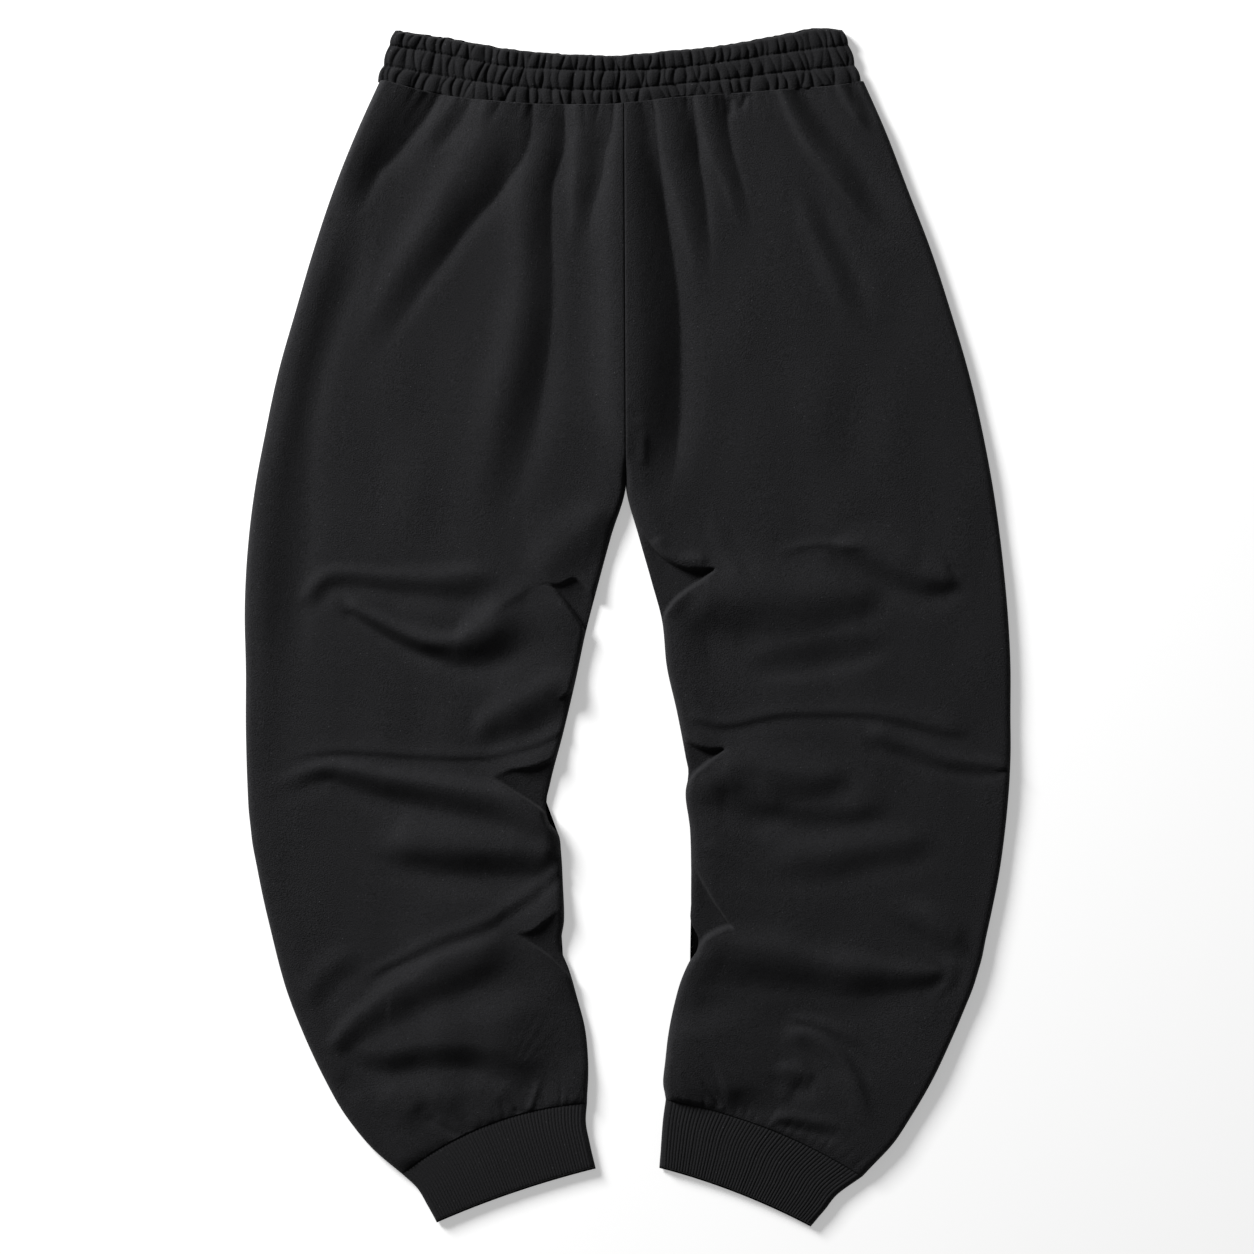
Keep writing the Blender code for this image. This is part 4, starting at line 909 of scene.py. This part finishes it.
CHANNELS = 3
GATHERS = 57
BAND_HEIGHT = 42.0
BAND_ROWS = 49
BAND_SLIT_ROWS = 6
BAND_UPPER_COLUMNS = 600
BAND_UNDER_COLUMNS = 80
BAND_ROLL = 4.5
BAND_RIM = 2.6          # the casing's two long edges are rounded over this width
BAND_GROOVE = 6.9       # height of the stitch rows
BAND_BULGE = 2.8        # the channels' puffs stand this much higher
BAND_MIDDLE = 3.9       # height of its rolled ends
PUFF_FULLNESS = 0.45    # a puff's section down its channel, where 1 would be a sine and 0 square
BAND_EDGE_ARCH = 0.8    # how far up the lowest channel's puffs still stand at the seam
BAND_DROOP = 3.0        # the lowest channel's puffs hang over the seam by up to this much
BAND_SLIT = (3.6, 4.2)  # heights of the slit's two faces
BAND_WALL = 4.0         # between the slit and the rolled ends
GATHER_DEPTH = 3.0
GATHER_SHARES = (0.45, 0.55)    # of its depth that a gather has everywhere, and only in the puffs
GATHER_WIDTH = (1.2, 2.6)
GATHER_BEND = 1.6
GATHER_STRENGTH = (0.3, 1.15)
GATHER_POWER = 1.15
PUFF_UNEVEN = 1.0
GATHER_JITTER = (0.30, 0.45, 0.62, 0.75)    # of the pitch, on the top, the two stitch rows and the seam
STITCH_PITCH = 2.8
STITCH_HALF_WIDTH = 0.8
NEEDLE_DEPTH = 0.6
BAND_SEAM_X = -6.0      # the casing's own seam
BAND_SEAM_HALF_WIDTH = 0.9
BAND_SEAM_DEPTH = (0.8, 0.8, 1.6)       # in each channel
SCALLOPS = 120          # places at which the top edge is uneven
SCALLOP_DEPTH = 0.6
SCALLOP_FADE = 6.0      # they end at one part in this many of the height
DROOPS = 90             # places at which the lower edge hangs unevenly
DROOP_FROM = 0.75       # from this share of the height down
EDGE_SAMPLES = 2000
GATHER_SEED = 3
BAND_EDGE_SEED = 17


def gather_lines(seed):
    """For each channel, the gathers' places on its upper and lower line with their bends and strengths."""
    chance = np.random.default_rng(seed)
    even = (np.arange(GATHERS) + 0.5) / GATHERS
    lines = [even + chance.uniform(-j, j, GATHERS) / GATHERS for j in GATHER_JITTER]
    channels = []
    for i in range(CHANNELS):
        bend = chance.uniform(-GATHER_BEND, GATHER_BEND, GATHERS)
        start = chance.uniform(*GATHER_STRENGTH, GATHERS)
        end = chance.uniform(*GATHER_STRENGTH, GATHERS)
        narrow = chance.uniform(*GATHER_WIDTH, GATHERS)
        tall = chance.uniform(-PUFF_UNEVEN, PUFF_UNEVEN, GATHERS)
        channels.append((lines[i], lines[i + 1], bend, start, end, narrow, tall))
    return channels


def gather_relief(share, v, width, channel):
    """The gathers' depth across one channel and its puffs' unevenness; v runs down the channel."""
    first, last, bend, start, end, narrow, tall = channel
    at = (first + (last - first) * v) * width + bend * math.sin(math.pi * v)
    strength = start + (end - start) * v
    place = (share[:, None] * width - at[None, :]) / narrow
    crease = np.clip(strength * np.exp(-np.abs(place) ** GATHER_POWER), 0.0, 1.0)
    order = np.argsort(at)
    return 1.0 - np.prod(1.0 - crease, axis=1), np.interp(share * width, at[order], tall[order])


def make_waistband(material):
    """The elastic casing: three gathered channels between four lines, with two stitch rows sunk between."""
    table = np.array([row[1:] for row in BAND_LINES])
    places = [row.place for row in BAND_LINES]
    channels = gather_lines(GATHER_SEED)
    chance = np.random.default_rng(BAND_EDGE_SEED)
    fine = np.linspace(0, 1, EDGE_SAMPLES)
    uneven = chance.uniform(-SCALLOP_DEPTH, SCALLOP_DEPTH, SCALLOPS)
    scallop = np.interp(fine, np.linspace(0, 1, SCALLOPS), uneven)
    droop = np.interp(fine, np.linspace(0, 1, DROOPS), chance.uniform(0.0, BAND_DROOP, DROOPS))

    def ring(t, inside):
        bulge = BAND_END_BULGE * abs(math.sin(CHANNELS * math.pi * t))
        left = BAND_LEFT[0] + BAND_LEFT[1] * t - bulge
        right = BAND_RIGHT[0] + BAND_RIGHT[1] * t + bulge
        width = right - left
        upper_share, upper_lift, under_share, under_lift = ring_shares(
            width, BAND_ROLL, BAND_UPPER_COLUMNS, BAND_UNDER_COLUMNS)
        share = np.concatenate([upper_share, under_share])
        channel = min(int(t * CHANNELS), CHANNELS - 1)
        v = t * CHANNELS - channel
        arch = math.sin(math.pi * v) ** PUFF_FULLNESS if 0 < v < 1 else 0.0
        if channel == CHANNELS - 1 and v > 0.5:
            arch = max(arch, BAND_EDGE_ARCH)
        relief, puff = gather_relief(upper_share, v, width, channels[channel])
        gathered = GATHER_DEPTH * relief * (GATHER_SHARES[0] + GATHER_SHARES[1] * arch)
        top = BAND_GROOVE + (BAND_BULGE + puff) * arch - gathered
        from_seam = np.abs((left + upper_share * width - BAND_SEAM_X) / BAND_SEAM_HALF_WIDTH)
        top -= np.exp(-from_seam**CREASE_POWER) * BAND_SEAM_DEPTH[channel]
        from_stitch = [(t - k / CHANNELS) * BAND_HEIGHT / STITCH_HALF_WIDTH for k in range(1, CHANNELS)]
        stitch = max(math.exp(-(d**2)) for d in from_stitch)
        needle = 0.5 + 0.5 * np.cos(2.0 * math.pi * upper_share * width / STITCH_PITCH)
        top -= NEEDLE_DEPTH * stitch * needle
        levels = through(places, table, 2.0 * share - 1.0)
        y = np.array([np.interp(t * CHANNELS, range(CHANNELS + 1), row) for row in levels])
        y += (1.0 - ease(t * SCALLOP_FADE)) * np.interp(share, fine, scallop)
        y -= ease((t - DROOP_FROM) / (1.0 - DROOP_FROM)) * np.interp(share, fine, droop)
        inset = BAND_WALL / width if inside else 0.0
        x = left + width * (inset + share * (1.0 - 2.0 * inset))
        edge = float(quarter(min(t, 1.0 - t) * BAND_HEIGHT / BAND_RIM))
        z = ring_heights(top, edge, upper_lift, under_lift, BAND_SLIT, BAND_MIDDLE, inside)
        uv = np.stack([share * width, np.full(len(share), t * BAND_HEIGHT)], axis=1)
        return np.stack([x, y, z], axis=1), uv

    steps = tube_steps(BAND_RIM, BAND_HEIGHT, BAND_ROWS, BAND_SLIT_ROWS)
    return make_tube("waistband", ring, steps, material)


RIBS = 55
RIB_POINTS = 8
RIB_DEPTH = 0.5
RIB_FULLNESS = 0.8      # a rib's section, where 1 would be a sine and 0 square
RIB_MIDDLE = 0.6        # the share of a rib that lies below the cuff's top
RIB_UNEVEN = (0.8, 1.15)
RIB_SEED = 31
CUFF_UNDER_COLUMNS = 60
CUFF_ROWS = 25
CUFF_SLIT_ROWS = 4
CUFF_ROLL = 3.2
CUFF_RIM = 1.6
CUFF_SEAM_EDGE = 0.94   # the cuff stands this share of its height at the seam
CUFF_TOP = 6.4
CUFF_CROWN = 0.5        # the cuff is higher by this halfway to the hem
CUFF_MIDDLE = 2.7       # height of its rolled sides
CUFF_SLIT = (2.4, 3.0)  # heights of the slit's two faces
CUFF_WALL = 2.8         # between the slit and the rolled sides
CUFF_GAP = 0.05         # between a cuff and its leg
HEM_REACH = 1.5         # the under side shows past the hem by this much
HEM_RUN = (0.7, 0.3)    # it goes there from this share of the length, over this share


def make_cuff(name, sections, side, material):
    """A cuff of ribbing folded double, its ribs running from the leg to the hem."""
    lengths = middle_lengths(sections)
    total = lengths[-1]
    chance = np.random.default_rng(RIB_SEED + side)
    rib_height = chance.uniform(*RIB_UNEVEN, RIBS + 2)
    along_ribs = np.arange(RIBS * RIB_POINTS + 1) / RIB_POINTS
    ribs = np.abs(np.sin(math.pi * along_ribs)) ** RIB_FULLNESS
    ribs = np.pad(ribs * rib_height[np.clip(along_ribs.astype(int), 0, RIBS)], len(ROLL_ANGLES) - 1)

    def ring(t, inside):
        row = through(lengths, sections, np.array([t * total]))
        along = row[0, 2:4] - row[0, 0:2]
        width = math.hypot(along[0], along[1])
        upper_share, upper_lift, under_share, under_lift = ring_shares(
            width, CUFF_ROLL, len(along_ribs), CUFF_UNDER_COLUMNS)
        share = np.concatenate([upper_share, under_share])
        edge = float(quarter(min(t, 1.0 - t) * total / CUFF_RIM))
        edge = max(edge, CUFF_SEAM_EDGE) if t < 0.5 else edge
        top = CUFF_TOP + CUFF_CROWN * math.sin(math.pi * t) + RIB_DEPTH * (ribs - RIB_MIDDLE)
        down = side * np.array([along[1], -along[0]]) / width
        inset = CUFF_WALL / width if inside else 0.0
        at = (inset + share * (1.0 - 2.0 * inset)) * width
        xy = section_grid(row, at[None, :], side)[0] + CUFF_GAP * down
        past = np.concatenate([np.zeros(len(upper_share)), np.full(len(under_share), HEM_REACH)])
        xy += (past * ease((t - HEM_RUN[0]) / HEM_RUN[1]))[:, None] * down
        z = ring_heights(top, edge, upper_lift, under_lift, CUFF_SLIT, CUFF_MIDDLE, inside)
        uv = np.stack([share * width, np.full(len(share), t * total)], axis=1)
        return np.concatenate([xy, z[:, None]], axis=1), uv

    steps = tube_steps(CUFF_RIM, total, CUFF_ROWS, CUFF_SLIT_ROWS)
    return make_tube(name, ring, steps, material)


# ---------------------------------------------------------------- materials
DYE_NOISE = (14.0, 2.0)         # scale and detail
GRAIN_NOISE = (900.0, 3.0)
DYE_TONE = 0.16
BASE_TONE = 0.92
LINT_SCALE = 130.0
LINT_SIZE = 0.06
LINT_COLOUR = (0.045, 0.045, 0.048, 1.0)
NAP_SHINE = 0.15
NAP_SHEEN = (0.03, 0.5)         # weight and roughness


def noise(tree, scale, detail, vector):
    """A noise texture's output."""
    node = tree.nodes.new("ShaderNodeTexNoise")
    node.inputs["Scale"].default_value = scale
    node.inputs["Detail"].default_value = detail
    tree.links.new(vector, node.inputs["Vector"])
    return node.outputs["Fac"]


def arithmetic(tree, operation, first, second):
    """A maths node's output, from numbers or other outputs."""
    node = tree.nodes.new("ShaderNodeMath")
    node.operation = operation
    for socket, value in zip(node.inputs, (first, second)):
        if isinstance(value, (int, float)):
            socket.default_value = value
        else:
            tree.links.new(value, socket)
    return node.outputs[0]


def cloth_material(name, colour, roughness, grain, bump_height):
    """Matt black cloth: uneven dye, a fine grain, a few pale specks of lint and a soft nap."""
    material = bpy.data.materials.new(name)
    material.use_nodes = True
    tree = material.node_tree
    shader = tree.nodes["Principled BSDF"]
    place = tree.nodes.new("ShaderNodeTexCoord").outputs["Object"]
    broad = noise(tree, *DYE_NOISE, place)
    fine = noise(tree, *GRAIN_NOISE, place)
    tone = arithmetic(tree, "MULTIPLY_ADD", broad, DYE_TONE)
    tone.node.inputs[2].default_value = BASE_TONE - grain / 2
    tone = arithmetic(tree, "ADD", tone, arithmetic(tree, "MULTIPLY", fine, grain))
    tinted = tree.nodes.new("ShaderNodeMix")
    tinted.data_type = "RGBA"
    tinted.blend_type = "MULTIPLY"
    tinted.inputs["Factor"].default_value = 1.0
    tinted.inputs[6].default_value = (*colour, 1.0)
    tree.links.new(tone, tinted.inputs[7])
    cells = tree.nodes.new("ShaderNodeTexVoronoi")
    cells.inputs["Scale"].default_value = LINT_SCALE
    tree.links.new(place, cells.inputs["Vector"])
    speck = arithmetic(tree, "LESS_THAN", cells.outputs["Distance"], LINT_SIZE)
    lint = tree.nodes.new("ShaderNodeMix")
    lint.data_type = "RGBA"
    lint.inputs[7].default_value = LINT_COLOUR
    tree.links.new(speck, lint.inputs["Factor"])
    tree.links.new(tinted.outputs[2], lint.inputs[6])
    tree.links.new(lint.outputs[2], shader.inputs["Base Color"])
    bump = tree.nodes.new("ShaderNodeBump")
    bump.inputs["Strength"].default_value = 1.0
    bump.inputs["Distance"].default_value = bump_height
    tree.links.new(noise(tree, *GRAIN_NOISE, place), bump.inputs["Height"])
    tree.links.new(bump.outputs["Normal"], shader.inputs["Normal"])
    shader.inputs["Roughness"].default_value = roughness
    shader.inputs["Specular IOR Level"].default_value = NAP_SHINE
    shader.inputs["Sheen Weight"].default_value = NAP_SHEEN[0]
    shader.inputs["Sheen Roughness"].default_value = NAP_SHEEN[1]
    return material


# ---------------------------------------------------------------- stage
WHITE = (1.0, 1.0, 1.0, 1.0)
FLOOR_COLOUR = (0.9, 0.9, 0.9, 1.0)
FLOOR_ROUGHNESS = 0.9
FLOOR_GLOW = 0.38
FLOOR_REACH = 3.0       # metres to each side
FLOOR_DROP = 0.0005     # metres under the cloth
KEY_PLACE = (-2.7, 2.55, 1.68)
KEY_SIZE = 1.2
KEY_POWER = 300.0
WORLD_STRENGTH = 0.10


def add_floor():
    """The pale floor under the garment, which isn't a part of it."""
    mesh = bpy.data.meshes.new("floor")
    corners = [(FLOOR_REACH * x, FLOOR_REACH * y, 0.0) for x, y in ((-1, -1), (1, -1), (1, 1), (-1, 1))]
    mesh.from_pydata(corners, [], [(0, 1, 2, 3)])
    floor = bpy.data.objects.new("floor", mesh)
    floor.location.z = -FLOOR_DROP
    bpy.context.scene.collection.objects.link(floor)
    material = bpy.data.materials.new("pale_floor")
    material.use_nodes = True
    shader = material.node_tree.nodes["Principled BSDF"]
    shader.inputs["Base Color"].default_value = FLOOR_COLOUR
    shader.inputs["Roughness"].default_value = FLOOR_ROUGHNESS
    shader.inputs["Emission Color"].default_value = WHITE
    shader.inputs["Emission Strength"].default_value = FLOOR_GLOW
    mesh.materials.append(material)


def add_light(name, place, size, power):
    """A square lamp that shines at the origin."""
    data = bpy.data.lights.new(name, "AREA")
    data.size = size
    data.energy = power
    light = bpy.data.objects.new(name, data)
    light.location = place
    away = light.location.normalized()
    light.rotation_euler = away.to_track_quat("Z", "Y").to_euler()
    bpy.context.scene.collection.objects.link(light)


def add_world(strength):
    world = bpy.data.worlds.new("studio")
    world.use_nodes = True
    world.node_tree.nodes["Background"].inputs["Color"].default_value = WHITE
    world.node_tree.nodes["Background"].inputs["Strength"].default_value = strength
    bpy.context.scene.world = world


CAMERA_HEIGHT = 4.0     # metres above the level cloth
VIEW_WIDTH = 1.066      # metres of the level cloth's plane in the picture
VIEW_CENTRE = (-0.0006, 0.00025)
SENSOR = 36.0
CLIP_END = 50.0


def add_camera():
    """The camera looks straight down."""
    data = bpy.data.cameras.new("camera")
    data.sensor_width = SENSOR
    data.lens = SENSOR * CAMERA_HEIGHT / VIEW_WIDTH
    data.clip_end = CLIP_END
    camera = bpy.data.objects.new("camera", data)
    camera.location = (*VIEW_CENTRE, CAMERA_HEIGHT + REST_HEIGHT * MM)
    bpy.context.scene.collection.objects.link(camera)
    bpy.context.scene.camera = camera


# Each cloth's name, colour, roughness, grain and height of its bump in metres.
FLEECE = ("black_fleece", (0.0135, 0.0135, 0.0148), 0.92, 2.6, 0.0008)
# The waistband's cloth is the same black fleece with its colour made darker: painted shade of the gathers'
# creases.
GATHERED_FLEECE_PAINTED_SHADE = ("gathered_black_fleece_painted_shade", (0.0096, 0.0096, 0.0106), 0.90, 2.2, 0.0007)
RIBBING = ("black_ribbing", (0.0124, 0.0124, 0.0135), 0.88, 1.6, 0.0005)


def main():
    """All cloth pieces, then what stands round them."""
    fleece = cloth_material(*FLEECE)
    # The waistband's material, whose darker colour is painted shade of its gathers.
    gathered = cloth_material(*GATHERED_FLEECE_PAINTED_SHADE)
    ribbing = cloth_material(*RIBBING)
    backs = [make_panel("back_left", LEFT_LEG, LEFT_CUFF, 1, True, fleece),
             make_panel("back_right", RIGHT_LEG, RIGHT_CUFF, -1, True, fleece)]
    fronts = [make_panel("front_left", LEFT_LEG, LEFT_CUFF, 1, False, fleece),
              make_panel("front_right", RIGHT_LEG, RIGHT_CUFF, -1, False, fleece)]
    band = make_waistband(gathered)
    cuffs = [make_cuff("cuff_left", LEFT_CUFF, 1, ribbing),
             make_cuff("cuff_right", RIGHT_CUFF, -1, ribbing)]

    add_floor()
    add_light("key", KEY_PLACE, KEY_SIZE, KEY_POWER)
    add_world(WORLD_STRENGTH)
    add_camera()
    bpy.context.scene.view_settings.view_transform = "Standard"


main()
